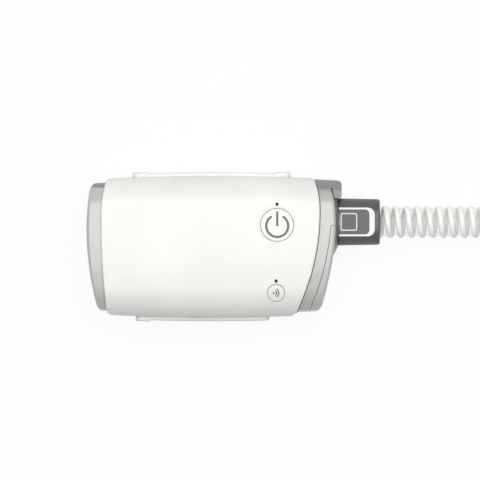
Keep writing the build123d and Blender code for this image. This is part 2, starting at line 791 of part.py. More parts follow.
with BuildPart() as hose_cuff:
    add(along_outlet(cuff_radius, plug_start - spigot_length, plug_end))
    chamfer(hose_cuff.faces().sort_by(Axis.X)[0].edges(), 0.6)
    add(slot_land.part)
    add(mirror(slot_land.part, about=Plane.XY.offset(outlet_z)))
    add(along_outlet(cuff_bore, 50, plug_end), mode=Mode.SUBTRACT)
keep(hose_cuff.part, "hose_cuff")

with BuildPart() as release_tab:
    tab_start = pivot_x - 1.2
    with BuildSketch(Plane.XY.offset(outlet_z + tab_low)):
        add(plug_plan(tab_start, tab_end, tab_half, tab_corner))
    extrude(amount=tab_high - tab_low)
    with BuildSketch(Plane.XY.offset(outlet_z + tab_high)):
        with Locations((grip_frame_x, outlet_y)):
            RectangleRounded(grip_frame_length, grip_frame_width, grip_frame_line)
            Rectangle(
                grip_frame_length - 2 * grip_frame_line,
                grip_frame_width - 2 * grip_frame_line,
                mode=Mode.SUBTRACT,
            )
    extrude(amount=grip_frame_proud)
    for side in (1, -1):
        ear = sorted((outlet_y + side * ear_inner, outlet_y + side * tab_half))
        add(span((tab_start, tab_start + 2.4), ear, (outlet_z + ear_low, outlet_z + tab_high)))
        with BuildSketch(Plane.XZ.offset(-outlet_y - side * (tab_half - 0.2))):
            with Locations((pivot_x, outlet_z + pivot_rise)):
                Circle(pivot_radius)
        extrude(amount=side * (tab_half - 0.2 - pivot_reach))
keep(release_tab.part, "release_tab_top")

with BuildPart() as lower_release_tab:
    add(release_tab.part)
    mirror(about=Plane.XY.offset(outlet_z), mode=Mode.REPLACE)
keep(lower_release_tab.part, "release_tab_bottom")

# --- hose: a straight part that goes down to the table, then the coil --------------------------------
runs = [Vector(*end) - Vector(*start) for start, end in zip(hose_points, hose_points[1:])]
hose_bends = []
for first, second in zip(runs, runs[1:]):
    half_turn = math.radians(first.get_angle(second) / 2)
    hose_bends.append(0.45 * min(first.length, second.length) / math.tan(half_turn))
print("hose bend radii", [round(bend, 1) for bend in hose_bends])
print("hose runs", [round(run.length, 1) for run in runs])

with BuildPart() as hose_tube:
    with BuildLine() as route:
        FilletPolyline(*hose_points, radius=hose_bends)
    with BuildSketch(Plane(origin=hose_points[0], z_dir=(1, 0, 0))):
        Circle(hose_radius)
    sweep()
tube_length = sum(edge.length for edge in route.edges())
print("tube volume", hose_tube.part.volume, "section x length", math.pi * hose_radius**2 * tube_length)

with BuildPart() as air_hose_run:
    add(hose_tube.part)
    add(span((coil_joint, 400), (-200, 200), (-50, 90)), mode=Mode.SUBTRACT)
keep(air_hose_run.part, "air_hose_run")

coil_axis = Axis((coil_x, coil_y, 0), (0, 0, 1))
layer = 2 * hose_radius


def coil_band(start_angle, arc, low, high, margin=0.0):
    """Part of the coil's outer form between two heights, from start_angle (degrees) over an arc."""
    start = math.radians(start_angle)
    upright_plane = Plane(
        origin=(coil_x, coil_y, 0),
        x_dir=(math.cos(start), math.sin(start), 0),
        z_dir=(math.sin(start), -math.cos(start), 0),
    )
    with BuildPart() as band:
        with BuildSketch(upright_plane):
            with Locations((coil_radius, (low + high) / 2)):
                SlotOverall(high - low + 2 * margin, layer + 2 * margin, rotation=90)
        revolve(axis=coil_axis, revolution_arc=arc)
    return band.part


cuff_angle = math.radians(top_end) - mask_cuff_length / 2 / coil_radius
cuff_way = Vector(math.sin(cuff_angle), -math.cos(cuff_angle), 0)
cuff_middle = Vector(
    coil_x + coil_radius * math.cos(cuff_angle),
    coil_y + coil_radius * math.sin(cuff_angle),
    (coil_layers - 1) * layer + mask_cuff_radius + 0.1,
)
cuff_start = Plane(origin=cuff_middle - cuff_way * (mask_cuff_length / 2), z_dir=cuff_way)
cuff_mouth = Plane(origin=cuff_middle + cuff_way * (mask_cuff_length / 2), z_dir=-cuff_way)
with BuildPart() as cuff_solid:
    with BuildSketch(cuff_start):
        Circle(mask_cuff_radius)
    extrude(amount=mask_cuff_length)

with BuildPart() as mask_cuff:
    add(cuff_solid.part)
    with BuildSketch(cuff_mouth):
        Circle(mask_bore)
    extrude(amount=mask_bore_depth, mode=Mode.SUBTRACT)
    with BuildSketch(cuff_mouth):
        Circle(cuff_bore)
    extrude(amount=mask_cuff_length, mode=Mode.SUBTRACT)
keep(mask_cuff.part, "mask_cuff")
print("mask cuff mouth", cuff_mouth.origin, "way in", cuff_mouth.z_dir)

with BuildPart() as air_hose_coil:
    add(hose_tube.part)
    add(span((0, coil_joint), (-200, 200), (-50, 90)), mode=Mode.SUBTRACT)
    add(coil_band(0, 360, 0, (coil_layers - 1) * layer))
    add(coil_band(top_end - 360, top_start + 360 - top_end, layer, coil_layers * layer))
    add(cuff_solid.part, mode=Mode.SUBTRACT)
keep(air_hose_coil.part, "air_hose_coil")

tie_arc = math.degrees(tie_width / coil_radius)
with BuildPart() as hose_tie:
    add(coil_band(-45, tie_arc, 0, coil_layers * layer, margin=tie_thick))
    add(coil_band(-60, 30 + tie_arc, 0, coil_layers * layer), mode=Mode.SUBTRACT)
    add(span((200, 400), (-200, 200), (-50, tie_lowest)), mode=Mode.SUBTRACT)
keep(hose_tie.part, "hose_tie")
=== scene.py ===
"""Blender scene of a travel CPAP machine with its coiled air hose.

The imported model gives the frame: each piece made here lies in its place and rides on its bodies.
All sizes are in metres. +X runs along the case to the air outlet, +Y to its rear side and +Z up.
"""

from __future__ import annotations

import json
import logging
import math
from dataclasses import dataclass, field
from enum import Enum
from typing import Callable, Iterable, Sequence, Union

import bmesh
import bpy
import numpy as np
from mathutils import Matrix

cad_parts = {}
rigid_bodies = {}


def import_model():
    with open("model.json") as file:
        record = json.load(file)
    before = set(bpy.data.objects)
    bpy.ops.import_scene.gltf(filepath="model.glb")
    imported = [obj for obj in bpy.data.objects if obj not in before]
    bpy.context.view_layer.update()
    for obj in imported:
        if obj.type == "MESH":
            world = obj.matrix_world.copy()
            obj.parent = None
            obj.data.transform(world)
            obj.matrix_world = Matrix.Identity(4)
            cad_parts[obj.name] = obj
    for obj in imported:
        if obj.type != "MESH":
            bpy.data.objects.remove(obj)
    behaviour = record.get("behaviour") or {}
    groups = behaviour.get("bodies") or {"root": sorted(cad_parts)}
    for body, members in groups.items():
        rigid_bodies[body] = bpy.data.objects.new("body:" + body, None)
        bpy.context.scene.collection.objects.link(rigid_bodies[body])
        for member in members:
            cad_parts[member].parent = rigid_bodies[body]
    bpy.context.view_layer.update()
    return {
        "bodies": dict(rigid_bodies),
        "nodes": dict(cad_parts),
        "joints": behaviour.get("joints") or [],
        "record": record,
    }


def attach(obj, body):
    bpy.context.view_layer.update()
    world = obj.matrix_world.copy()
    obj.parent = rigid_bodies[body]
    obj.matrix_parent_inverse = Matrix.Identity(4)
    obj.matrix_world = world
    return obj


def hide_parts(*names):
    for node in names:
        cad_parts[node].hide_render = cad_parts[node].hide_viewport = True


LOG = logging.getLogger("cpap_scene")
Array = np.ndarray
Colour = tuple[float, float, float]
Lift = Callable[[Array, Array], Array]
Mesh = tuple[Array, list]
Piece = bpy.types.Object
UP = (0.0, 0.0, 1.0)
HAIR = 1e-6  # a width or a radius that stands for none, so that points stay apart
QUARTER = np.linspace(0, np.pi / 2, 5)  # the steps of a small rounded edge


# --- node graphs ----------------------------------------------------------------------------------


def srgb(red: float, green: float, blue: float) -> Colour:
    """Turn display levels from 0 to 255 into linear light.

    Args:
        red, green, blue: the display levels.
    Returns:
        The linear colour that shows at those levels.
    """
    levels = (level / 255 for level in (red, green, blue))
    return tuple(v / 12.92 if v <= 0.04045 else ((v + 0.055) / 1.055) ** 2.4 for v in levels)


def scaled(colour: Colour, factor: float) -> Colour:
    """The colour made darker or brighter by that factor."""
    return tuple(v * factor for v in colour)


class Sock:
    """A node's output that takes arithmetic: each operation adds one maths node to its graph."""

    def __init__(self, graph: Graph, out: bpy.types.NodeSocket) -> None:
        """Wrap an output of that graph."""
        self.graph = graph
        self.out = out

    def __add__(self, other: Value) -> Sock:
        """The sum."""
        return self.graph.maths("ADD", self, other)

    def __mul__(self, other: Value) -> Sock:
        """The product."""
        return self.graph.maths("MULTIPLY", self, other)

    __radd__ = __add__
    __rmul__ = __mul__

    def apply(self, operation: str, *others: Value) -> Sock:
        """Run any other operation of the maths node on this output."""
        return self.graph.maths(operation, self, *others)

    def spread(self, low: float, high: float) -> Sock:
        """Map the stretch from low to high smoothly on the one from 0 to 1.

        Args:
            low, high: the ends of the stretch.
        Returns:
            The mapped output, clamped.
        """
        return self.graph.node(
            "ShaderNodeMapRange",
            {"Value": self, "From Min": low, "From Max": high},
            interpolation_type="SMOOTHSTEP",
        )


Value = Union[Sock, float, Colour]


class Graph:
    """The node graph of one material."""

    def __init__(self, name: str) -> None:
        """Start an empty material.

        Args:
            name: the material's name.
        """
        self.material = bpy.data.materials.new(name)
        self.material.use_nodes = True
        self.tree = self.material.node_tree
        self.tree.nodes.clear()

    def node(self, kind: str, inputs: dict | None = None, output: int | str = 0, **settings) -> Sock:
        """Add one node.

        Args:
            kind: the node's Blender type.
            inputs: values or outputs for its sockets, by name or number.
            output: the output to give back.
            settings: the node's own properties.
        Returns:
            The chosen output.
        """
        made = self.tree.nodes.new(kind)
        for name, setting in settings.items():
            setattr(made, name, setting)
        for key, value in (inputs or {}).items():
            socket = made.inputs[key]
            if isinstance(value, Sock):
                self.tree.links.new(value.out, socket)
            elif socket.type == "RGBA":
                socket.default_value = (*value, 1.0)
            else:
                socket.default_value = value
        return Sock(self, made.outputs[output])

    def maths(self, operation: str, *values: Value) -> Sock:
        """Add one maths node with its values in order."""
        return self.node("ShaderNodeMath", dict(enumerate(values)), operation=operation)

    def place(self) -> Sock:
        """The point's own coordinates in the piece, which are those of the frame."""
        return self.node("ShaderNodeTexCoord", output="Object")

    def stretched(self, along: tuple[float, float, float]) -> Sock:
        """The point's coordinates, scaled along each axis."""
        return self.node("ShaderNodeMapping", {"Vector": self.place(), "Scale": along})

    def noise(self, size: float, detail: float = 2.0, vector: Sock | None = None) -> Sock:
        """Soft noise whose features are about size across."""
        inputs = {"Vector": vector or self.place(), "Scale": 1.0 / size, "Detail": detail}
        return self.node("ShaderNodeTexNoise", inputs)

    def blend(self, share: Value, first: Value, second: Value) -> Sock:
        """Mix two colours by share."""
        inputs = {0: share, 6: first, 7: second}
        return self.node("ShaderNodeMix", inputs, output=2, data_type="RGBA")

    def bump(self, height: Sock, distance: float) -> Sock:
        """Turn a height from 0 to 1 into a normal, with distance as its real depth."""
        return self.node("ShaderNodeBump", {"Height": height, "Distance": distance})

    def mixed(self, share: Value, first: Sock, second: Sock) -> Sock:
        """Mix two shaders by share."""
        return self.node("ShaderNodeMixShader", {0: share, 1: first, 2: second})

    def surface(self, **inputs: Value) -> Sock:
        """The main shader, its sockets named with underscores for spaces."""
        named = {name.replace("_", " "): value for name, value in inputs.items()}
        return self.node("ShaderNodeBsdfPrincipled", named)

    def finish(self, shader: Sock) -> bpy.types.Material:
        """Link a shader to the material's output.

        Args:
            shader: the finished shader.
        Returns:
            The material.
        """
        out = self.tree.nodes.new("ShaderNodeOutputMaterial")
        self.tree.links.new(shader.out, out.inputs["Surface"])
        return self.material


# --- finishes -------------------------------------------------------------------------------------


@dataclass(frozen=True)
class Moulded:
    """Moulded plastic or rubber: fine spark grain, slow tint changes, faint scuffs and worn spots.

    Attributes:
        colour, roughness: its main colour and the middle of its roughness.
        grain, grain_depth: the size and depth of its grain.
        tint, tint_size: how much its colour changes, and over what length.
        scuffs, scuff_size: how strong and how wide its scuffs are.
        coat, coat_roughness: its glossy coat.
        scatter, scatter_depth: how much light goes into it, and how deep.
    """

    colour: Colour
    roughness: float = 0.4
    grain: float = 0.00035
    grain_depth: float = 0.000012
    tint: float = 0.04
    tint_size: float = 0.035
    scuffs: float = 0.1
    scuff_size: float = 0.004
    coat: float = 0.0
    coat_roughness: float = 0.12
    scatter: float = 0.0
    scatter_depth: float = 0.0015

    def build(self, name: str) -> bpy.types.Material:
        """Make the material.

        The tint is darkest where the slow noise and the grain are low, scuffs are paler and duller,
        and the roughness stays close to the given one.

        Args:
            name: the material's name, which is the record's slot.
        Returns:
            The material.
        """
        graph = Graph(name)
        slow = graph.noise(self.tint_size, 3.0)
        fine = graph.noise(self.grain, 3.0)
        streaks = graph.noise(self.scuff_size, 4.0, graph.stretched((0.25, 3.0, 1.0)))
        worn = streaks.spread(0.6, 0.75) * self.scuffs
        darker = scaled(self.colour, 1 - 2.2 * self.tint)
        base = graph.blend(slow.spread(0.3, 0.7) * 0.7 + fine * 0.3, darker, self.colour)
        paler = tuple(v + 0.25 * (1 - v) for v in self.colour)
        shader = graph.surface(
            Base_Color=graph.blend(worn * 0.4, base, paler),
            Roughness=slow * 0.12 + worn * 0.5 + fine * 0.06 + (self.roughness - 0.09),
            Coat_Weight=self.coat,
            Coat_Roughness=self.coat_roughness,
            Subsurface_Weight=self.scatter,
            Subsurface_Scale=self.scatter_depth,
            Normal=graph.bump(fine * 0.8 + slow * 0.2, self.grain_depth),
        )
        return graph.finish(shader)


@dataclass(frozen=True)
class Metal:
    """Turned or drawn metal with fine lines round its axis and dull spots.

    Attributes:
        colour, roughness: its colour and the middle of its roughness.
        line_size, line_depth: the width and depth of its lines.
        spot_size: the size of its dull spots.
    """

    colour: Colour
    roughness: float = 0.3
    line_size: float = 0.0006
    line_depth: float = 0.00001
    spot_size: float = 0.006

    def build(self, name: str) -> bpy.types.Material:
        """Make the material: noise squeezed along Z draws its lines, and its spots are darker and duller.

        Args:
            name: the material's name.
        Returns:
            The material.
        """
        graph = Graph(name)
        lines = graph.noise(self.line_size, 2.0, graph.stretched((1.0, 1.0, 12.0)))
        spots = graph.noise(self.spot_size, 4.0)
        shader = graph.surface(
            Base_Color=graph.blend(spots.spread(0.4, 0.7), self.colour, scaled(self.colour, 0.7)),
            Metallic=1.0,
            Roughness=spots * 0.2 + lines * 0.15 + (self.roughness - 0.15),
            Normal=graph.bump(lines, self.line_depth),
        )
        return graph.finish(shader)


@dataclass(frozen=True)
class Fibre:
    """Felted or open-cell stuff: foam, filter fleece or the loops of a fabric strap.

    Attributes:
        colour: its colour where it stands high.
        cell, depth: the size and depth of its cells.
    """

    colour: Colour
    cell: float = 0.0009
    depth: float = 0.0003

    def build(self, name: str) -> bpy.types.Material:
        """Make the material: cells and threads give its height, and its low places are darkened as
        painted shade.

        Args:
            name: the material's name.
        Returns:
            The material.
        """
        graph = Graph(name)
        inputs = {"Vector": graph.place(), "Scale": 1.0 / self.cell}
        cells = graph.node("ShaderNodeTexVoronoi", inputs)
        threads = graph.noise(self.cell * 0.6, 4.0)
        height = cells * 0.6 + threads * 0.6
        # painted shade: the colour darkened to 0.45 of itself in the low places of the cells and threads
        deep = scaled(self.colour, 0.45)
        shader = graph.surface(
            Base_Color=graph.blend(height.spread(0.2, 0.8), deep, self.colour),
            Roughness=0.93,
            Sheen_Weight=0.35,
            Normal=graph.bump(height, self.depth),
        )
        return graph.finish(shader)


@dataclass(frozen=True)
class Film:
    """The hose's thin clear film, faintly milky and creased.

    Attributes:
        colour: the colour of its milky skin.
        clearness: the share of it that is clear where there is no haze.
        crease_size, crease_depth: its creases.
        haze_size: the size of its hazy patches.
        let_through: the colour of light that has gone through it.
    """

    colour: Colour
    clearness: float = 0.9
    crease_size: float = 0.0022
    crease_depth: float = 0.00018
    haze_size: float = 0.012
    let_through: Colour = (0.985, 0.99, 0.99)

    def build(self, name: str) -> bpy.types.Material:
        """Make the material: clear film mixed with a creased skin, with more skin where the haze is.

        Args:
            name: the material's name.
        Returns:
            The material.
        """
        graph = Graph(name)
        creases = graph.noise(self.crease_size, 3.0)
        haze = graph.noise(self.haze_size, 2.0)
        skin = graph.surface(
            Base_Color=graph.blend(haze, scaled(self.colour, 0.93), self.colour),
            Roughness=creases * 0.2 + 0.22,
            Coat_Weight=0.3,
            Normal=graph.bump(creases, self.crease_depth),
        )
        clear = graph.node("ShaderNodeBsdfTransparent", {"Color": self.let_through})
        return graph.finish(graph.mixed(haze * 0.12 + (1 - self.clearness), clear, skin))


@dataclass(frozen=True)
class Board:
    """A circuit board: solder mask with copper tracks under it.

    Attributes:
        colour: the colour of the solder mask.
        tracks_per_metre, track_width, track_depth: how close, how wide and how high the tracks are.
        dust_size: the size of its duller patches.
    """

    colour: Colour
    tracks_per_metre: float = 220.0
    track_width: float = 0.012
    track_depth: float = 0.00003
    dust_size: float = 0.003

    def build(self, name: str) -> bpy.types.Material:
        """Make the material: the tracks stand proud of the mask and show paler.

        Args:
            name: the material's name.
        Returns:
            The material.
        """
        graph = Graph(name)
        inputs = {"Scale": self.tracks_per_metre, "Mortar Size": self.track_width}
        tracks = graph.node("ShaderNodeTexBrick", {"Vector": graph.place(), **inputs}, output="Fac")
        dust = graph.noise(self.dust_size, 3.0)
        shader = graph.surface(
            Base_Color=graph.blend(tracks * 0.8, self.colour, scaled(self.colour, 1.6)),
            Roughness=dust * 0.2 + 0.25,
            Normal=graph.bump(tracks, self.track_depth),
        )
        return graph.finish(shader)


FINISHES = {
    "shell_white": Moulded(srgb(244, 243, 240), 0.42, scatter=0.04),
    "rail_white": Moulded(srgb(241, 240, 238), 0.6, grain=0.0005, grain_depth=0.00002),
    "cap_grey": Moulded(srgb(192, 192, 189), 0.3, coat=0.25),
    "frame_grey": Moulded(srgb(138, 139, 142), 0.42),
    "plug_dark": Moulded(srgb(92, 92, 94), 0.45, grain_depth=0.00002, tint=0.08, scuffs=0.2),
    "cuff_white": Moulded(srgb(240, 240, 240), 0.35, scatter=0.05),
    "hose_skin": Film(srgb(240, 242, 243)),
    "filter_fibre": Fibre(srgb(222, 224, 226), 0.0005),
    "foam_dark": Fibre(srgb(52, 54, 58)),
    "lamp_lens": Moulded(srgb(6, 7, 7), 0.6),
    "board_green": Board(srgb(20, 74, 48)),
    "chip_black": Moulded(srgb(34, 34, 36), 0.5, tint=0.1),
    "can_metal": Metal(srgb(196, 198, 202)),
    "steel": Metal(srgb(176, 178, 182)),
    "pin_brass": Metal(srgb(206, 172, 96)),
    "rubber_dark": Moulded(srgb(48, 49, 52), 0.75, grain=0.0006, tint=0.12, scuffs=0.25),
    "rubber_clear": Moulded(srgb(206, 210, 212), 0.4, scatter=0.3),
    "inner_black": Moulded(srgb(40, 41, 44), 0.5, tint=0.1),
    "tie_black": Fibre(srgb(36, 36, 40), 0.0007, 0.00025),
    "winding_white": Moulded(srgb(252, 251, 248), 0.25, tint=0.01),
    "print_grey": Moulded(srgb(96, 97, 99), 0.5),
    "print_white": Moulded(srgb(222, 222, 219), 0.4),
    # the seal bead's grey: partly the seal's own colour, partly painted shade for the dark line in the
    # seam
    "seal_shade_grey": Moulded(srgb(112, 112, 113), 0.7, tint=0.08),
}


class Finishes:
    """The scene's materials, each made when it is first asked for."""

    made: dict[str, bpy.types.Material] = {}

    @classmethod
    def get(cls, name: str) -> bpy.types.Material:
        """Give the material of a finish, and make it if it is new.

        Args:
            name: the key of the finish in FINISHES.
        Returns:
            The material.
        """
        if name not in cls.made:
            cls.made[name] = FINISHES[name].build(name)
        return cls.made[name]


# --- mesh building --------------------------------------------------------------------------------


def make_piece(
    name: str, mesh: Mesh, finish: str, body: str = "machine", nodes: Sequence[str] = ()
) -> Piece:
    """Make a smooth piece that rides on a body.

    Args:
        name: the piece's name.
        mesh: its points, one row each, and its faces as lists of point numbers.
        finish: the key of its material in FINISHES, which is the slot of the nodes too.
        body: the body that carries it.
        nodes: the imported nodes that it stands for.
    Returns:
        The piece.
    """
    points, faces = mesh
    data = bpy.data.meshes.new(name)
    data.from_pydata(points.tolist(), [], [list(map(int, face)) for face in faces])
    data.polygons.foreach_set("use_smooth", np.ones(len(data.polygons), dtype=bool))
    data.materials.append(Finishes.get(finish))
    data.update()
    piece = bpy.data.objects.new(name, data)
    bpy.context.scene.collection.objects.link(piece)
    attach(piece, body)
    if nodes:
        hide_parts(*nodes)
    return piece


def joined(meshes: Iterable[Mesh]) -> Mesh:
    """Put several meshes in one.

    Args:
        meshes: their points and faces.
    Returns:
        All their points, and their faces renumbered to match.
    """
    points, faces, start = [], [], 0
    for some, quads in meshes:
        points.append(some)
        faces += [[start + k for k in face] for face in quads]
        start += len(some)
    return np.concatenate(points), faces


def weld(piece: Piece, reach: float = 1e-7) -> None:
    """Join the points of a piece that lie close together.

    Args:
        piece: the piece.
        reach: how far apart such points may be.
    """
    cloth = bmesh.new()
    cloth.from_mesh(piece.data)
    bmesh.ops.remove_doubles(cloth, verts=cloth.verts, dist=reach)
    cloth.to_mesh(piece.data)
    cloth.free()


def loop_quads(loops: Array) -> list:
    """Quads between neighbouring closed loops of points.

    Args:
        loops: the point numbers, each loop a row.
    Returns:
        The quads.
    """
    after = np.roll(loops, -1, axis=1)
    quads = np.stack([loops[:-1], loops[1:], after[1:], after[:-1]], axis=-1)
    return quads.reshape(-1, 4).tolist()


def tube_faces(rows: int, around: int, closed: bool = False) -> list:
    """Quads of a tube of rings.

    Args:
        rows: how many rings it has.
        around: points in each ring.
        closed: whether its last ring joins its first; otherwise a face closes each end.
    Returns:
        The faces.
    """
    loops = np.arange(rows * around).reshape(rows, around)
    if closed:
        return loop_quads(np.concatenate([loops, loops[:1]]))
    return [*loop_quads(loops), loops[0].tolist(), loops[-1, ::-1].tolist()]


def turned(profile: Array, origin: Sequence[float], way: Sequence[float], steps: int = 64) -> Mesh:
    """Turn a closed profile about an axis.

    p = origin + along way + radius (cos(angle) side + sin(angle) up), with side and up square to
    way and to each other.

    Args:
        profile: pairs of length along the axis and radius, clockwise with the axis to the right.
        origin: the axis's start.
        way: its unit direction.
        steps: how many strips go round it.
    Returns:
        Its points and faces.
    """
    way = np.array(way)
    side = np.cross(way, UP if abs(way[2]) < 0.9 else (1.0, 0.0, 0.0))
    side = side / np.linalg.norm(side)
    up = np.cross(side, way)
    angle = np.linspace(0, 2 * np.pi, steps, endpoint=False)[:, None]
    radial = np.cos(angle) * side + np.sin(angle) * up
    along, radius = profile.T[:, :, None, None]
    points = np.array(origin) + along * way + radius * radial
    faces = np.array(tube_faces(len(profile), steps, closed=True))[:, [0, 3, 2, 1]]
    return points.reshape(-1, 3), faces.tolist()


def rounded_profile(corners: Sequence[Sequence[float]] | Array, steps: int = 6) -> Array:
    """A closed profile whose corners (along, radius, rounding) are replaced by arcs.

    The arc touches both sides at rounding / tan(half) from the corner, and its centre lies on the
    bisector at rounding / sin(half), where half is half the corner's angle.

    Args:
        corners: the profile's corners in order.
        steps: points on each arc.
    Returns:
        Its points.
    """
    points = np.array([corner[:2] for corner in corners])
    line = []
    for index, (_, _, rounding) in enumerate(corners):
        here, before, after = points[index], points[index - 1], points[(index + 1) % len(points)]
        if rounding <= 0:
            line.append(here)
            continue
        one, two = before - here, after - here
        one, two = one / np.linalg.norm(one), two / np.linalg.norm(two)
        half = math.acos(float(np.clip(one @ two, -1, 1))) / 2
        touch = rounding / math.tan(half)
        middle = here + (one + two) / np.linalg.norm(one + two) * rounding / math.sin(half)
        first = math.atan2(*(here + one * touch - middle)[::-1])
        last = math.atan2(*(here + two * touch - middle)[::-1])
        sweep = (last - first + math.pi) % (2 * math.pi) - math.pi
        angles = first + sweep * np.linspace(0, 1, steps)
        line.extend(middle + rounding * np.column_stack([np.cos(angles), np.sin(angles)]))
    return np.array(line)


def arc(centre: tuple, radius: float, start: float, end: float, steps: int = 40) -> Array:
    """Points of an arc in plan, its angles in degrees from +X to +Y."""
    angle = np.radians(np.linspace(start, end, steps))
    return np.column_stack([centre[0] + radius * np.cos(angle), centre[1] + radius * np.sin(angle)])


def rounded_outline(
    centre: tuple, half_x: float, half_y: float, corner: float, steps: int = 6, between: int = 0
) -> Array:
    """Points round a rectangle with rounded corners, counter-clockwise from its right side.

    Args:
        centre: its middle.
        half_x, half_y: half its sides.
        corner: the radius of its corners.
        steps: points on each corner.
        between: points on each side along X, between its corners.
    Returns:
        The points.
    """
    share = np.linspace(0, 1, between + 2)[1:-1, None]
    runs = []
    for sign_x, sign_y, start in ((1, 1, 0), (-1, 1, 90), (-1, -1, 180), (1, -1, 270)):
        middle = (centre[0] + sign_x * (half_x - corner), centre[1] + sign_y * (half_y - corner))
        runs.append(arc(middle, corner, start, start + 90, steps))
    sides = [runs[k][-1] * (1 - share) + runs[k + 1][0] * share for k in (0, 2)]
    return np.concatenate([runs[0], sides[0], runs[1], runs[2], sides[1], runs[3]])


def block_surface(counts: tuple[int, int, int]) -> Mesh:
    """The surface of the cube from -1 to 1 as a lattice.

    Point (i, j, k) of the lattice lies at 2 (i, j, k) / counts - 1.

    Args:
        counts: how many cells it has along each axis.
    Returns:
        Its points and its faces, which look outward.
    """
    sizes = np.array(counts) + 1
    number = np.arange(sizes.prod()).reshape(sizes)
    quads = []
    for axis in range(3):
        for end in (0, -1):
            sheet = np.take(number, end, axis=axis)
            four = [sheet[:-1, :-1], sheet[1:, :-1], sheet[1:, 1:], sheet[:-1, 1:]]
            if (axis == 1) == (end == -1):
                four = four[::-1]
            quads.append(np.stack(four, axis=-1).reshape(-1, 4))
    quads = np.concatenate(quads)
    used, faces = np.unique(quads, return_inverse=True)
    lattice = np.stack(np.unravel_index(used, sizes), axis=-1)
    return 2 * lattice / np.array(counts) - 1, faces.reshape(-1, 4).tolist()


# --- case form ------------------------------------------------------------------------------------


class Half(Enum):
    """A half of the case, with the sign of its outward height."""

    UPPER = 1.0
    LOWER = -1.0


class Flank(Enum):
    """A flank of the case, with the sign of its y."""

    REAR = 1.0
    FRONT = -1.0


@dataclass(frozen=True)
class CaseSizes:
    """The barrel form of the case and the two curves in plan that end its casings.

    Attributes:
        reach: half the length of the form, more than half the case's.
        half_width, narrowing: half its width at its middle, and how much of that its ends lack.
        bottom, top, top_fall: its lowest and highest level, and how far the top falls to its ends.
        top_crown, bottom_crown, bulge: how far the top, the bottom and the flanks bulge.
        top_corner, bottom_corner: the radii between crown and flank.
        seam: the level at which the casings meet.
        wall, rim_round: the casings' thickness and the rounding of their ends.
        seam_groove: how far their skin draws in at the seam.
    """

    reach: float = 0.075
    half_width: float = 0.0383
    narrowing: float = 0.0025
    bottom: float = 0.0014
    top: float = 0.052
    top_fall: float = 0.0016
    top_crown: float = 0.003
    bottom_crown: float = 0.0009
    bulge: float = 0.0015
    top_corner: float = 0.016
    bottom_corner: float = 0.011
    seam: float = 0.026
    wall: float = 0.0018
    rim_round: float = 0.0007
    seam_groove: float = 0.00022


CASE = CaseSizes()


class EndCurve:
    """One end of the casings in plan: x against y, a smooth curve with both corners rounded."""

    def __init__(
        self, points: Sequence[tuple], corners: tuple[float, float] = (0.0, 0.0), outward: float = 0.0
    ) -> None:
        """Take the curve.

        Args:
            points: places (x, y) that it runs through, from the rear to the front.
            corners: the radii of its rear and front corner.
            outward: 1 if it looks along +X, -1 if along -X.
        """
        knots = np.array(points)[::-1]
        self.y, self.x = knots[:, 1], knots[:, 0]
        self.slopes = np.gradient(self.x, self.y)
        self.corners, self.outward = corners, outward

    def plain(self, y: Array) -> Array:
        """The curve before its corners are rounded: a cubic Hermite line through its points.

        x = x0 (1 - e) + x1 e + w (s0 t (1 - t)^2 - s1 t^2 (1 - t)), where t runs from 0 to 1 over
        the width w between two points, e = t^2 (3 - 2 t), and s0 and s1 are their slopes.

        Args:
            y: places across the case.
        Returns:
            x at each.
        """
        y = np.clip(y, self.y[0], self.y[-1])
        k = np.clip(np.searchsorted(self.y, y) - 1, 0, len(self.y) - 2)
        width = self.y[k + 1] - self.y[k]
        t = (y - self.y[k]) / width
        ease = t * t * (3 - 2 * t)
        bend = self.slopes[k] * t * (1 - t) ** 2 - self.slopes[k + 1] * t * t * (1 - t)
        return self.x[k] * (1 - ease) + self.x[k + 1] * ease + width * bend

    def at(self, y: Array) -> Array:
        """The curve with its corners rounded.

        Near a corner of radius r the curve draws in by r - sqrt(r^2 - d^2), where d is how far the
        point lies past the corner's centre.

        Args:
            y: places across the case.
        Returns:
            x at each.
        """
        rear, front = self.corners
        past_rear = np.clip(y - (self.y[-1] - rear), 0, rear)
        past_front = np.clip(self.y[0] + front - y, 0, front)
        drawn = rear - np.sqrt(rear**2 - past_rear**2) + front - np.sqrt(front**2 - past_front**2)
        return self.plain(y) - self.outward * drawn


LEFT_END = EndCurve(
    ((-0.0582, 0.0372), (-0.0606, 0.025), (-0.061, 0.008), (-0.0596, -0.02), (-0.0578, -0.0372)),
    (0.003, 0.0032),
    -1.0,
)
RIGHT_END = EndCurve(
    ((0.0536, 0.0375), (0.0562, 0.027), (0.0566, 0.014), (0.0529, -0.0115), (0.0436, -0.0379)),
    (0.0008, 0.0042),
    1.0,
)


@dataclass(frozen=True)
class Arcs:
    """Centres, radii and tangent angles of the arcs of one half of the cross-section, at each x."""

    crown_radius: Array
    crown_z: Array
    crown_angle: Array
    corner: Array
    corner_y: Array
    corner_z: Array
    flank_radius: Array
    flank_y: Array
    flank_z: Array
    flank_angle: Array
    seam: Array


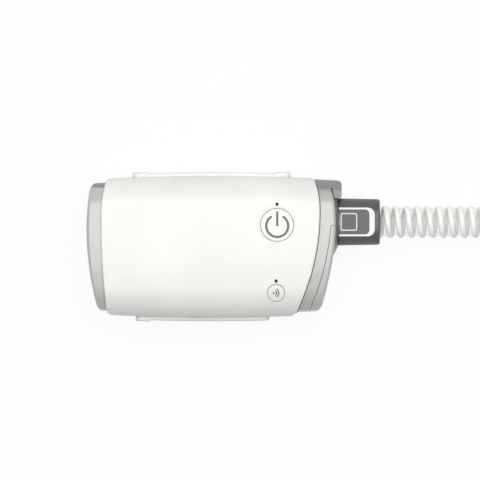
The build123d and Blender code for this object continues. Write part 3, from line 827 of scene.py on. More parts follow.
class CaseForm:
    """One half of the case's cross-section at any x, as arcs that meet smoothly.

    The crown is the circle through (-edge, high), (0, top) and (edge, high). The flank is the circle
    through (edge, high), (half, seam) and (edge, low). An arc of the corner radius touches both.
    The lower half is the same with z turned over.
    """

    def __init__(self, side: Half) -> None:
        """Take the half."""
        self.side, self.sign = side, side.value

    def arcs(self, x: Array, inset: Array | float) -> Arcs:
        """Work out the arcs of the section.

        The corner's centre is where the circles about the crown's and the flank's centres cross,
        with the corner radius taken off theirs.

        Args:
            x: where the section is cut.
            inset: how far it is drawn in.
        Returns:
            The arcs.
        """
        share = (x / CASE.reach) ** 2
        half = CASE.half_width - CASE.narrowing * share - inset
        top = CASE.top - CASE.top_fall * share - inset
        bottom = CASE.bottom + inset + 0 * x
        edge = half - CASE.bulge
        high, low = top - CASE.top_crown, bottom + CASE.bottom_crown
        seam, crown, corner = CASE.seam + 0 * x, CASE.top_crown, CASE.top_corner - inset
        if self.side is Half.LOWER:
            high, low, top, seam = -low, -high, -bottom, -seam
            crown, corner = CASE.bottom_crown, CASE.bottom_corner - inset
        crown_radius = (edge**2 + crown**2) / (2 * crown)
        crown_z = top - crown_radius
        flank_z = (high + low) / 2
        rise = (high - flank_z) ** 2 - (seam - flank_z) ** 2
        flank_y = (edge**2 - half**2 + rise) / (2 * (edge - half))
        flank_radius = np.hypot(edge - flank_y, high - flank_z)
        first, second = crown_radius - corner, flank_radius - corner
        apart = np.hypot(flank_y, flank_z - crown_z)
        along = (first**2 - second**2 + apart**2) / (2 * apart)
        across = np.sqrt(np.maximum(first**2 - along**2, 0))
        unit_y, unit_z = flank_y / apart, (flank_z - crown_z) / apart
        corner_y = along * unit_y + across * unit_z
        corner_z = crown_z + along * unit_z - across * unit_y
        crown_angle = np.arctan2(corner_z - crown_z, corner_y)
        flank_angle = np.arctan2(corner_z - flank_z, corner_y - flank_y)
        crown_arc = (crown_radius, crown_z, crown_angle)
        corner_arc = (corner + 0 * x, corner_y, corner_z)
        return Arcs(*crown_arc, *corner_arc, flank_radius, flank_y, flank_z, flank_angle, seam)

    def section(self, x: Array, station: Array, inset: Array | float) -> tuple[Array, Array]:
        """The section's points at stations: 0 is the apex, 1 to 2 the corner and 3 the seam.

        Args:
            x: where the section is cut.
            station: the place on it, negative on the front side.
            inset: how far it is drawn in.
        Returns:
            y and z.
        """
        a = self.arcs(x, inset)
        s = np.abs(station)
        crown = np.pi / 2 + (a.crown_angle - np.pi / 2) * np.clip(s, 0, 1)
        bend = a.crown_angle + (a.flank_angle - a.crown_angle) * np.clip(s - 1, 0, 1)
        seam_angle = np.arcsin(np.clip((a.seam - a.flank_z) / a.flank_radius, -1, 1))
        flank = a.flank_angle + (seam_angle - a.flank_angle) * np.clip(s - 2, 0, 1)
        zones = [s < 1, s < 2]
        angle = np.select(zones, [crown, bend], flank)
        radius = np.select(zones, [a.crown_radius, a.corner], a.flank_radius)
        y = np.select(zones, [0 * a.corner_y, a.corner_y], a.flank_y) + radius * np.cos(angle)
        z = np.select(zones, [a.crown_z, a.corner_z], a.flank_z) + radius * np.sin(angle)
        return np.sign(station) * y, self.sign * z

    def height(self, x: Array, y: Array, inset: float = 0.0) -> Array:
        """The height of the form over points in plan.

        z = centre + sqrt(radius^2 - distance^2), on the crown or the corner, whichever is there.

        Args:
            x, y: the points.
            inset: how far the form is drawn in.
        Returns:
            z at each.
        """
        a = self.arcs(x, inset)
        side = np.abs(y)
        crown = a.crown_z + np.sqrt(np.maximum(a.crown_radius**2 - side**2, 0))
        bend = a.corner_z + np.sqrt(np.maximum(a.corner**2 - (side - a.corner_y) ** 2, 0))
        limit = a.crown_radius * np.cos(a.crown_angle)
        return self.sign * np.where(side < limit, crown, bend)

    def flank(self, x: Array, z: Array) -> Array:
        """How far the flank lies from the middle, at a height."""
        a = self.arcs(x, 0.0)
        return a.flank_y + np.sqrt(a.flank_radius**2 - (z - a.flank_z) ** 2)


TOP_FORM, BOTTOM_FORM = CaseForm(Half.UPPER), CaseForm(Half.LOWER)


# --- casings --------------------------------------------------------------------------------------


@dataclass(frozen=True)
class Hole:
    """A round hole through a casing; dish is how far the casing sinks to it, from dish_radius in.

    Attributes:
        x, y, radius: its middle and its size.
        dish, dish_radius: how far the casing sinks towards it, and from where on.
        edge: the rounding of its edge.
        margin: how far past it the casing's cells are cut out.
    """

    x: float
    y: float
    radius: float
    dish: float = 0.0
    dish_radius: float = 0.0
    edge: float = 0.0003
    margin: float = 0.0007

    def sink(self, radius: Array) -> Array:
        """How far the casing sinks: dish (1 - t), t going from 0 at the hole's edge to 1 at dish_radius.

        Args:
            radius: distances from the hole's middle.
        Returns:
            The depth at each.
        """
        if not self.dish:
            return 0 * radius
        t = np.clip((radius - self.radius) / (self.dish_radius - self.radius), 0, 1)
        return self.dish * (1 - t)

    def rings(self, distance: Array) -> Array:
        """Radii of the loops between the cut cells and the hole's rounded edge.

        Args:
            distance: how far each point round the cut cells lies from the hole's middle.
        Returns:
            The radii, one row for each loop, from the outside in.
        """
        if self.dish:
            slope = self.dish_radius - self.radius
            radii = [(distance + self.dish_radius) / 2, self.dish_radius]
            radii += [self.radius + share * slope for share in (0.9, 0.5)]
        else:
            rim = self.radius + self.edge
            radii = [distance * (1 - share) + rim * share for share in (0.35, 0.7)]
        return np.array([radius + 0 * distance for radius in radii])


@dataclass
class Casing:
    """One half of the case as a closed shell: outer skin, rounded ends, inner wall, holes, posts."""

    form: CaseForm
    holes: Sequence[Hole]
    posts: Iterable[Mesh]
    rows: int = 104
    crown_steps: int = 18
    corner_steps: int = 16
    flank_steps: int = 8
    groove_start: float = 2.985  # the station where the seam's groove starts
    rounds: int = 4  # in which grid() finds x and y together
    first_length: float = 0.12  # the casing's length, as guessed for the first of those rounds
    hole_level: float = 0.01  # the holes lie further than this from the seam
    points: list[Array] = field(default_factory=list)
    faces: list = field(default_factory=list)

    def stations(self) -> tuple[Array, Array]:
        """Places on the section, from the rear seam over the crown to the front seam.

        Returns:
            The stations, and how far the seam's groove draws each of them in.
        """
        crown = np.linspace(0, 1, self.crown_steps, endpoint=False)
        corner = np.linspace(1, 2, self.corner_steps, endpoint=False)
        flank = np.linspace(2, self.groove_start, self.flank_steps)
        half = np.concatenate([crown, corner, flank, [3.0]])
        whole = np.concatenate([half[::-1], -half[1:]])
        groove = np.zeros(len(whole))
        groove[[0, -1]] = CASE.seam_groove
        return whole, groove

    def grid(self, inset: Array | float, share: Array, offset: Array | float, station: Array) -> Array:
        """Points of a sheet.

        x = x_left(y) (1 - share) + x_right(y) share + offset, where y is the section's at that x, so
        both are found together in a few rounds.

        Args:
            inset: how far the sheet lies under the form.
            share: how far along the casing each row is, from 0 to 1.
            offset: what is added to its x.
            station: the place of each column on the section.
        Returns:
            The points, in rows and columns.
        """
        x = (share - 0.5) * self.first_length
        for _ in range(self.rounds):
            y, _ = self.form.section(x, station, inset)
            x = LEFT_END.at(y) * (1 - share) + RIGHT_END.at(y) * share + offset
        return np.stack([x, *self.form.section(x, station, inset)], axis=-1)

    def build(self, name: str, finish: str, node: str) -> Piece:
        """Make the shell as a piece of the machine.

        Args:
            name: the piece's name.
            finish: its finish.
            node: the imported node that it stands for.
        Returns:
            The piece.
        """
        station, groove = self.stations()
        length = np.linspace(0, 1, self.rows)[1:-1]
        rim_in, rim_out = CASE.rim_round * (1 - np.sin(QUARTER)), CASE.rim_round * (1 - np.cos(QUARTER))
        share = np.concatenate([[0], 0 * QUARTER, length, 1 + 0 * QUARTER, [1]])[:, None]
        offset = np.concatenate([[0], rim_out, 0 * length, -rim_out[::-1], [0]])[:, None]
        inset = np.concatenate([[CASE.wall], rim_in, 0 * length, rim_in[::-1], [CASE.wall]])[:, None]
        skin = self.grid(inset + groove * (inset < CASE.wall), share, offset, station)
        inner = self.grid(CASE.wall, length[:, None], 0.0, station)
        first = len(QUARTER) + 1
        body = slice(first, first + len(length))
        outside = np.arange(len(skin) * len(station)).reshape(len(skin), -1)
        inside = outside.size + np.arange(len(inner) * len(station)).reshape(len(inner), -1)
        self.points = [skin.reshape(-1, 3), inner.reshape(-1, 3)]
        blocks = [self.block(skin[body], hole) for hole in self.holes]
        self.join_sheets(outside, inside, first, blocks)
        self.close_seams(outside, inside, body)
        for hole, (low_row, high_row, low, high) in zip(self.holes, blocks):
            outer = edge_loop(outside[body][low_row : high_row + 1, low : high + 1])
            within = edge_loop(inside[low_row : high_row + 1, low : high + 1])
            self.cut_hole(hole, outer, within)
        if self.form.side is Half.LOWER:
            self.faces = [face[::-1] for face in self.faces]
        shell = np.concatenate(self.points), self.faces
        return make_piece(name, joined([shell, *self.posts]), finish, nodes=[node])

    def join_sheets(self, outside: Array, inside: Array, first: int, blocks: Sequence[tuple]) -> None:
        """Add the cells of both sheets and of the ends between them, but not those in the blocks.

        Args:
            outside, inside: the point numbers of the outer skin and of the inner wall.
            first: the row of the outer skin where the inner wall starts.
            blocks: the rows and columns that the holes take out.
        """
        ring = np.concatenate([outside, inside[::-1], outside[:1]])
        cut = np.zeros((len(ring) - 1, ring.shape[1] - 1), dtype=bool)
        last = len(ring) - 2
        for low_row, high_row, low, high in blocks:
            cut[first + low_row : first + high_row, low:high] = True
            cut[last - high_row : last - low_row, low:high] = True
        quads = np.stack([ring[:-1, :-1], ring[:-1, 1:], ring[1:, 1:], ring[1:, :-1]], axis=-1)
        self.faces = quads[~cut].tolist()

    def close_seams(self, outside: Array, inside: Array, body: slice) -> None:
        """Add the two flat rims at the seam, with a fan over each rounded end.

        Args:
            outside, inside: the point numbers of the outer skin and of the inner wall.
            body: the rows of the outer skin that lie over the inner wall.
        """
        for side, way in ((0, 1), (-1, -1)):
            outer, inner = outside[:, side], inside[:, side]
            strip = outer[body]
            self.add(np.stack([strip[:-1], strip[1:], inner[1:], inner[:-1]], axis=-1), way)
            for run, tip in ((outer[: body.start + 1], inner[0]), (outer[body.stop - 1 :], inner[-1])):
                self.add(np.stack([run[:-1], run[1:], tip + 0 * run[1:]], axis=-1), way)

    def add(self, faces: Array, way: int) -> None:
        """Keep faces, each turned over if way is -1."""
        self.faces += faces[:, ::way].tolist()

    def block(self, skin: Array, hole: Hole) -> tuple[int, int, int, int]:
        """Find the cells that a hole takes out, with a margin round it.

        Args:
            skin: the points of the outer skin, in rows and columns.
            hole: the hole.
        Returns:
            The first and last row, then the first and last column.
        """
        reach = max(hole.radius + hole.edge, hole.dish_radius) + hole.margin
        near = (np.abs(skin[..., 0] - hole.x) < reach) & (np.abs(skin[..., 1] - hole.y) < reach)
        near &= self.form.sign * (skin[..., 2] - CASE.seam) > self.hole_level
        rows, columns = np.nonzero(near)
        return rows.min() - 1, rows.max() + 1, columns.min() - 1, columns.max() + 1

    def cut_hole(self, hole: Hole, outer: Array, within: Array) -> None:
        """Fill the cells round a hole with rings, and join the outer skin to the inner wall.

        Args:
            hole: the hole.
            outer, within: the point numbers round it on the outer skin and on the inner wall.
        """
        known = np.concatenate(self.points)
        bound = known[outer, :2] - (hole.x, hole.y)
        distance = np.linalg.norm(bound, axis=1)
        way_x, way_y = (bound / distance[:, None]).T
        flat = hole.rings(distance)
        edge = hole.radius + hole.edge * (1 - np.sin(QUARTER[:, None])) + 0 * distance
        radius = np.concatenate([flat, edge])
        drop = np.concatenate([np.zeros(len(flat)), hole.edge * (1 - np.cos(QUARTER))])[:, None]
        x, y = hole.x + way_x * radius, hole.y + way_y * radius
        z = self.form.height(x, y) - self.form.sign * (drop + hole.sink(radius))
        wall = np.stack([x[-1], y[-1], self.form.height(x[-1], y[-1], CASE.wall)], axis=-1)
        points = np.concatenate([np.stack([x, y, z], axis=-1).reshape(-1, 3), wall])
        number = len(known) + np.arange(len(points)).reshape(-1, len(outer))
        self.points.append(points)
        self.add(np.array(loop_quads(np.stack([outer, *number, within])))[:, [0, 3, 2, 1]], 1)


def edge_loop(numbers: Array) -> Array:
    """The numbers round the edge of a block, in order."""
    return np.concatenate([numbers[0, :-1], numbers[:-1, -1], numbers[-1, :0:-1], numbers[:0:-1, 0]])


@dataclass(frozen=True)
class Casings:
    """The two casings, with their holes, their screw posts and the posts that carry the boards.

    Attributes:
        power_hole, wireless_hole: the holes round the keys.
        screws: where the screws are.
        screw_bore, screw_post, screw_head: the radii of their bores, their posts and their heads' room.
        head_level, bore_end: where that room and the bores end.
        floor: where the lower posts start, in the wall.
        under_skin: how far below the skin the upper screw posts end.
        board_posts, board_radius, board_level: the main board's posts and their tops.
        key_posts, key_radius, key_level, key_post_end: the key board's posts and their two ends.
    """

    power_hole: Hole = Hole(0.0337, 0.0117, 0.009, 0.0003, 0.0104)
    wireless_hole: Hole = Hole(0.0332, -0.0249, 0.00475, edge=0.0004)
    screws: tuple = ((-0.044, 0.028), (-0.044, -0.028), (0.0185, 0.028), (0.0225, -0.0295))
    screw_bore: float = 0.00125
    screw_post: float = 0.0033
    screw_head: float = 0.0027
    head_level: float = 0.0036
    bore_end: float = 0.0403
    floor: float = 0.0027
    under_skin: float = 0.0006
    board_posts: tuple = ((-0.0505, -0.017), (-0.0505, 0.017), (-0.0345, -0.017), (-0.0345, 0.017))
    board_radius: float = 0.002
    board_level: float = 0.008
    key_posts: tuple = ((0.03, -0.005), (0.041, -0.005))
    key_radius: float = 0.0018
    key_level: float = 0.0422
    key_post_end: float = 0.0505

    def lower_posts(self) -> list[Mesh]:
        """The posts of the lower casing.

        Returns:
            The screw posts, bored for the screws and their heads, then the main board's.
        """
        screw = [(self.floor, self.screw_post), (CASE.seam, self.screw_post)]
        screw += [(CASE.seam, self.screw_bore), (self.head_level, self.screw_bore)]
        screw += [(self.head_level, self.screw_head), (self.floor, self.screw_head)]
        board = [(self.floor, self.board_radius), (self.board_level, self.board_radius)]
        board += [(self.board_level, HAIR), (self.floor, HAIR)]
        posts = [post(spot, screw) for spot in self.screws]
        return posts + [post(spot, board) for spot in self.board_posts]

    def upper_posts(self) -> list[Mesh]:
        """The posts of the upper casing.

        Returns:
            The screw posts, which end just under the skin, then the key board's.
        """
        posts = []
        for spot in self.screws:
            rim = arc(spot, self.screw_post, 0, 360)
            top = float(TOP_FORM.height(*rim.T).min()) - self.under_skin
            line = [(CASE.seam, self.screw_bore), (CASE.seam, self.screw_post), (top, self.screw_post)]
            line += [(top, HAIR), (self.bore_end, HAIR), (self.bore_end, self.screw_bore)]
            posts.append(post(spot, line))
        key = [(self.key_level, HAIR), (self.key_level, self.key_radius)]
        key += [(self.key_post_end, self.key_radius), (self.key_post_end, HAIR)]
        return posts + [post(spot, key) for spot in self.key_posts]

    def build(self) -> list[Piece]:
        """Make both casings.

        Returns:
            The top and the bottom piece.
        """
        keys = [self.power_hole, self.wireless_hole]
        heads = [Hole(x, y, self.screw_head) for x, y in self.screws]
        top = Casing(TOP_FORM, keys, self.upper_posts())
        bottom = Casing(BOTTOM_FORM, heads, self.lower_posts())
        return [
            top.build("case_top", "shell_white", "top_casing"),
            bottom.build("case_bottom", "shell_white", "bottom_casing"),
        ]


def post(spot: tuple, profile: Sequence[tuple]) -> Mesh:
    """An upright post turned from its profile of heights and radii."""
    return turned(np.array(profile), (*spot, 0.0), UP, steps=24)


# --- small pieces of the machine ------------------------------------------------------------------


@dataclass(frozen=True)
class Lamps:
    """The lens of each lamp: a light pipe through the casing with a flat dome on its end.

    Attributes:
        spots: the node and the place of each.
        start: the level at which the pipe starts.
        stem, rim, cap: the radii of the pipe, of the dome's foot and of its flat top.
        rim_levels, cap_levels: how high over the skin that foot and that top lie.
    """

    spots: tuple = (("power_lamp", 0.0337, 0.0229), ("wireless_lamp", 0.0332, -0.0184))
    start: float = 0.0422
    stem: float = 0.00075
    rim: float = 0.0009
    cap: float = 0.0006
    rim_levels: tuple = (-0.00002, 0.00008)
    cap_levels: tuple = (0.00013, 0.00014)

    def build(self) -> list[Piece]:
        """Make both lenses.

        Returns:
            The power lamp's, then the wireless lamp's.
        """
        pieces = []
        for name, x, y in self.spots:
            skin = float(TOP_FORM.height(np.array(x), np.array(y)))
            low, high = (skin + level for level in self.rim_levels)
            edge, middle = (skin + level for level in self.cap_levels)
            dome = [(self.start, HAIR), (self.start, self.stem), (low, self.stem), (low, self.rim)]
            dome += [(high, self.rim), (edge, self.cap), (middle, HAIR)]
            pieces.append(make_piece(f"{name}_lens", post((x, y), dome), "lamp_lens", nodes=[name]))
        return pieces


@dataclass(frozen=True)
class Feet:
    """The four rubber feet, each with a ring groove in its sole.

    Attributes:
        spots, radius: where they are, and how big.
        edge: the rounding of their soles.
        top: the level at which they end, in the wall.
        groove, groove_depth, groove_round: the radii of the groove's corners, its depth and rounding.
    """

    spots: tuple = ((-0.042, 0.02), (-0.042, -0.02), (0.04, 0.02), (0.034, -0.02))
    radius: float = 0.0055
    edge: float = 0.0006
    top: float = 0.0018
    groove: tuple = (0.0034, 0.0036, 0.0041, 0.0043)
    groove_depth: float = 0.0003
    groove_round: float = 0.0001

    def build(self) -> list[Piece]:
        """Make the feet as one piece.

        Returns:
            That piece alone.
        """
        levels = (0.0, self.groove_depth, self.groove_depth, 0.0)
        sole = [(level, radius, self.groove_round) for level, radius in zip(levels, self.groove)]
        rim = [(0.0, self.radius, self.edge), (self.top, self.radius, 0), (self.top, HAIR, 0)]
        profile = rounded_profile([(0.0, HAIR, 0), *sole, *rim])
        feet = [turned(profile, (*spot, 0.0), UP, steps=40) for spot in self.spots]
        return [make_piece("feet_rubber", joined(feet), "rubber_dark", nodes=["rubber_feet"])]


@dataclass(frozen=True)
class Seal:
    """The grey bead between the casings and the outlet cap, round the case's right end: partly a real
    seal, and dark enough to stand for the shade in that seam as painted shade.

    Attributes:
        radius: its own.
        aside, under_wall: how far its middle lies past the casings' end and below their wall.
        steps, around: its points on each half of the section, and round itself.
        rounds: how often x and y are worked out from each other.
    """

    radius: float = 0.00032
    aside: float = 0.00013
    under_wall: float = 0.0001
    steps: int = 139
    around: int = 8
    rounds: int = 6

    def build(self) -> list[Piece]:
        """Make the bead.

        Its middle line is the case's section, drawn in to the cap's skin and put on the casings' end
        curve: x = x_end(y), where y is the section's at that x, found in a few rounds.

        Returns:
            The bead alone.
        """
        inset = CASE.wall + self.under_wall
        half = np.linspace(-3, 3, self.steps + 1)
        station = {TOP_FORM: half[:-1], BOTTOM_FORM: half[:0:-1]}

        def sections(x: Array, drawn: float) -> Array:
            """y and z round the case at x, upper half first."""
            parts = zip(station.items(), x.reshape(2, -1))
            return np.hstack([form.section(part, at, drawn) for (form, at), part in parts]).T

        x = np.full(2 * self.steps, RIGHT_END.x[-1])
        for _ in range(self.rounds):
            middle = sections(x, inset)
            x = RIGHT_END.at(middle[:, 0])
        outward = sections(x, 0.0) - middle
        outward /= np.linalg.norm(outward, axis=1)[:, None]
        turn = np.linspace(0, 2 * np.pi, self.around, endpoint=False)
        beside = (x + self.aside)[:, None] + self.radius * np.cos(turn)
        across = middle[:, None] + outward[:, None] * self.radius * np.sin(turn)[:, None]
        points = np.concatenate([beside[..., None], across], axis=-1).reshape(-1, 3)
        faces = tube_faces(len(x), self.around, closed=True)
        # the bead's grey is partly a real seal and partly painted shade standing for the seam's shade
        return [make_piece("outlet_seal_shade_bead", (points, faces), "seal_shade_grey")]


@dataclass(frozen=True)
class Rail:
    """A soft rail on a flank of the case, with thicker pads.

    Attributes:
        node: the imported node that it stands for.
        start, end, low, high: its ends along the case, and its lower and upper side.
        flank: the flank that it is on.
        pads, pad_length: where its pads start, and how long they are.
        proud, pad_more: how far it stands out, and how much more its pads do.
        ramp: the length of the ramp between them.
        edge, corner: the rounding of its edge and of its outline's corners.
        buried: how far it goes into the flank.
        rim, inner_rows: how far inside the outline the lattice has its rows.
        plain_columns, ramp_columns: how many columns it has between its ends, and on a ramp.
    """

    node: str
    start: float
    end: float
    flank: Flank
    pads: tuple
    proud: float = 0.0019
    pad_more: float = 0.0007
    pad_length: float = 0.008
    ramp: float = 0.0009
    edge: float = 0.0009
    low: float = 0.017
    high: float = 0.035
    corner: float = 0.004
    buried: float = 0.0002
    rim: tuple = (0.0, 0.00012, 0.0003, 0.0005, 0.0007, 0.0009, 0.0013, 0.0018, 0.0024, 0.0031, 0.004)
    inner_rows: tuple = (0.0055, 0.0072)
    plain_columns: int = 26
    ramp_columns: int = 7

    def columns(self) -> Array:
        """The lattice's columns, which are close at the ends and at the pads' ramps.

        Returns:
            x of each.
        """
        inset, half_ramp = np.array(self.rim), self.ramp / 2
        ramp = np.linspace(-half_ramp, half_ramp, self.ramp_columns)
        plain = np.linspace(self.start, self.end, self.plain_columns + 4)[2:-2]
        stops = [x for pad in self.pads for x in (pad, pad + self.pad_length)]
        ramps = [stop + ramp for stop in stops if self.start < stop < self.end]
        return np.unique(np.concatenate([self.start + inset, self.end - inset, plain, *ramps]))

    def pad_share(self, x: Array) -> Array:
        """How much of a pad's height the rail has.

        It rises over a straight ramp before a pad and falls over one after it. A pad at the rail's
        own end has no ramp there.

        Args:
            x: places along the rail.
        Returns:
            1 on a pad, 0 off it, and between on a ramp.
        """
        share = 0 * x
        for pad in self.pads:
            stop = pad + self.pad_length
            rise = np.clip((x - pad) / self.ramp + 0.5, 0, 1) if pad > self.start else 1
            fall = np.clip((stop - x) / self.ramp + 0.5, 0, 1) if stop < self.end else 1
            share = np.maximum(share, rise * fall)
        return share

    def build(self) -> list[Piece]:
        """Make the rail, as a lattice inside its rounded outline.

        At the depth d inside the outline the rail stands proud by h - r + sqrt(r^2 - (r - d)^2) for
        d < r, and by h further in. h rises smoothly from the rail to its pads.

        Returns:
            The rail alone.
        """
        middle_x, half_x = (self.start + self.end) / 2, (self.end - self.start) / 2
        middle_z, half_z = (self.low + self.high) / 2, (self.high - self.low) / 2
        columns = self.columns()
        inset = np.array(self.rim + self.inner_rows) / half_z
        rows = np.concatenate([inset - 1, [0.0], 1 - inset[::-1]])
        cube, faces = block_surface((len(columns) - 1, 1, len(rows) - 1))
        x = columns[np.rint((cube[:, 0] + 1) * (len(columns) - 1) / 2).astype(int)]
        over_x = abs(x - middle_x) - half_x + self.corner
        drawn = np.sqrt(np.maximum(self.corner**2 - np.maximum(over_x, 0) ** 2, 0))
        row = rows[np.rint((cube[:, 2] + 1) * (len(rows) - 1) / 2).astype(int)]
        z = middle_z + row * (half_z - self.corner + drawn)
        over_z = abs(z - middle_z) - half_z + self.corner
        past = np.hypot(np.maximum(over_x, 0), np.maximum(over_z, 0))
        depth = self.corner - past - np.minimum(np.maximum(over_x, over_z), 0)
        pad = self.pad_share(x)
        height = self.proud + self.pad_more * pad * pad * (3 - 2 * pad)
        missing = np.clip(self.edge - depth, 0, self.edge)
        height = height - self.edge + np.sqrt(np.maximum(self.edge**2 - missing**2, 0))
        height = np.where(cube[:, 1] > 0, height, -self.buried)
        y = self.flank.value * (TOP_FORM.flank(x, z) + height)
        if self.flank is Flank.FRONT:
            faces = [face[::-1] for face in faces]
        mesh = np.column_stack([x, y, z]), faces
        return [make_piece(f"{self.node}_rubber", mesh, "rail_white", nodes=[self.node])]


RAILS = (
    Rail("rear_grip_rail", -0.0442, 0.0411, Flank.REAR, (-0.0442, 0.0331)),
    Rail("front_grip_rail", -0.0425, 0.0296, Flank.FRONT, (-0.0425,)),
)


@dataclass(frozen=True)
class Print:
    """A thin raised line laid on a surface; an open line has round ends.

    Attributes:
        name, body, finish: its name, the body that carries it and its finish.
        line, width: its middle line in plan, and its width.
        lift: gives the height of its top over points in plan.
        closed: whether it runs back to its start.
        thick: how thick it is.
        cap_steps: points on each round end.
    """

    name: str
    body: str
    line: Array
    width: float
    lift: Lift
    finish: str = "print_grey"
    closed: bool = False
    thick: float = 0.00008
    cap_steps: int = 5

    def widened(self) -> tuple[Array, Array, Array]:
        """Add round ends to the line, unless it is closed.

        Returns:
            Its points, its direction at each and half its width there.
        """
        line, half = self.line, self.width / 2
        if self.closed:
            return line, np.roll(line, -1, axis=0) - np.roll(line, 1, axis=0), half + 0 * line[:, 0]
        first, last = line[0] - line[1], line[-1] - line[-2]
        turn = np.linspace(0, np.pi / 2, self.cap_steps + 1)[:-1]
        reach, cap = np.cos(turn) * half, np.sin(turn) * half
        start = line[0] + np.outer(reach, first / np.linalg.norm(first))
        end = line[-1] + np.outer(reach[::-1], last / np.linalg.norm(last))
        widths = np.concatenate([cap, half + 0 * line[:, 0], cap[::-1]]) + HAIR
        line = np.concatenate([start, line, end])
        return line, np.gradient(line, axis=0), widths

    def build(self) -> Piece:
        """Make the line: each of its points carries a flat ring of four, half its width to each side.

        Returns:
            The piece.
        """
        line, ahead, half = self.widened()
        ahead = ahead / np.linalg.norm(ahead, axis=1)[:, None]
        side = np.stack([-ahead[:, 1], ahead[:, 0]], axis=-1) * half[:, None]
        rows = []
        for way, drop in ((1, 0.0), (-1, 0.0), (-1, self.thick), (1, self.thick)):
            plan = line + way * side
            rows.append(np.column_stack([plan, self.lift(*plan.T) - drop]))
        faces = tube_faces(len(line), len(rows), self.closed)
        mesh = np.stack(rows, axis=1).reshape(-1, 3), faces
        piece = make_piece(self.name, mesh, self.finish, self.body)
        piece.data.polygons.foreach_set("use_smooth", np.zeros(len(faces), dtype=bool))
        return piece


@dataclass(frozen=True)
class Marks:
    """The standby and radio marks on their keys, and the frames on the release tabs.

    Attributes:
        proud: how far the marks stand out of their keys.
        standby, standby_width: the middle of the standby mark, and its lines' width.
        ring_radius, ring_span, bar_ends: its ring, the ring's angles and where its bar starts and ends.
        radio, dot_width, dot_radius: the middle of the radio mark, and its dot.
        wave_width, wave_radii, wave_span: its waves, and how far each goes to both sides.
        frame_middle, frame_halves, frame_corner, frame_width: the frame's outline and its line's width.
        frame_level, plug_axis: its height over the plug's axis, and the axis's own.
    """

    proud: float = 0.00003
    standby: tuple = (0.0338, 0.0112)
    ring_radius: float = 0.0059
    ring_span: tuple = (125, 415)
    bar_ends: tuple = (0.0004, 0.0073)
    standby_width: float = 0.00124
    radio: tuple = (0.0319, -0.0249)
    dot_width: float = 0.0009
    dot_radius: float = 0.0001
    wave_width: float = 0.0006
    wave_radii: tuple = (0.0015, 0.0027)
    wave_span: float = 50.0
    frame_middle: tuple = (0.07245, 0.0134)
    frame_halves: tuple = (0.00418, 0.00446)
    frame_corner: float = 0.0007
    frame_width: float = 0.00064
    frame_level: float = 0.01283
    plug_axis: float = 0.026

    def on_case(self, x: Array, y: Array) -> Array:
        """The height of a mark's top on a key, over points in plan."""
        return TOP_FORM.height(x, y) + self.proud

    def on_tab(self, x: Array, _: Array) -> Array:
        """The height of a frame's top over the plug's axis."""
        return self.frame_level + 0 * x

    def build(self) -> list[Piece]:
        """Make the marks and the frames.

        Returns:
            The marks on the keys, then the frames on the tabs.
        """
        x, y = self.standby
        bar = np.linspace(*self.bar_ends, 9)
        ring = arc(self.standby, self.ring_radius, *self.ring_span, steps=90)
        lines = {
            "standby_ring": (ring, self.standby_width),
            "standby_bar": (np.column_stack([x + 0 * bar, y + bar]), self.standby_width),
            "radio_dot": (arc(self.radio, self.dot_radius, 0, 180, steps=3), self.dot_width),
        }
        for index, radius in enumerate(self.wave_radii):
            wave = arc(self.radio, radius, -self.wave_span, self.wave_span, steps=20)
            lines[f"radio_wave_{index}"] = (wave, self.wave_width)
        pieces = []
        for name, (line, width) in lines.items():
            body = "power_key" if name.startswith("standby") else "wireless_key"
            pieces.append(Print(name, body, line, width, self.on_case).build())
        return pieces + [self.tab_frame("upper_tab", 1), self.tab_frame("lower_tab", -1)]

    def tab_frame(self, body: str, side: int) -> Piece:
        """Make the frame on a release tab, flat over the plug's axis, and put it on the tab's side.

        Args:
            body: the tab's body.
            side: 1 if it lies over the axis, -1 under it.
        Returns:
            The piece.
        """
        outline = rounded_outline(self.frame_middle, *self.frame_halves, self.frame_corner)
        name = body.replace("tab", "grip_frame")
        frame = Print(name, body, outline, self.frame_width, self.on_tab, "print_white", closed=True)
        piece = frame.build()
        flat = np.zeros(3 * len(piece.data.vertices))
        piece.data.vertices.foreach_get("co", flat)
        flat[2::3] = self.plug_axis + side * flat[2::3]
        piece.data.vertices.foreach_set("co", flat)
        if side < 0:
            piece.data.flip_normals()
        return piece


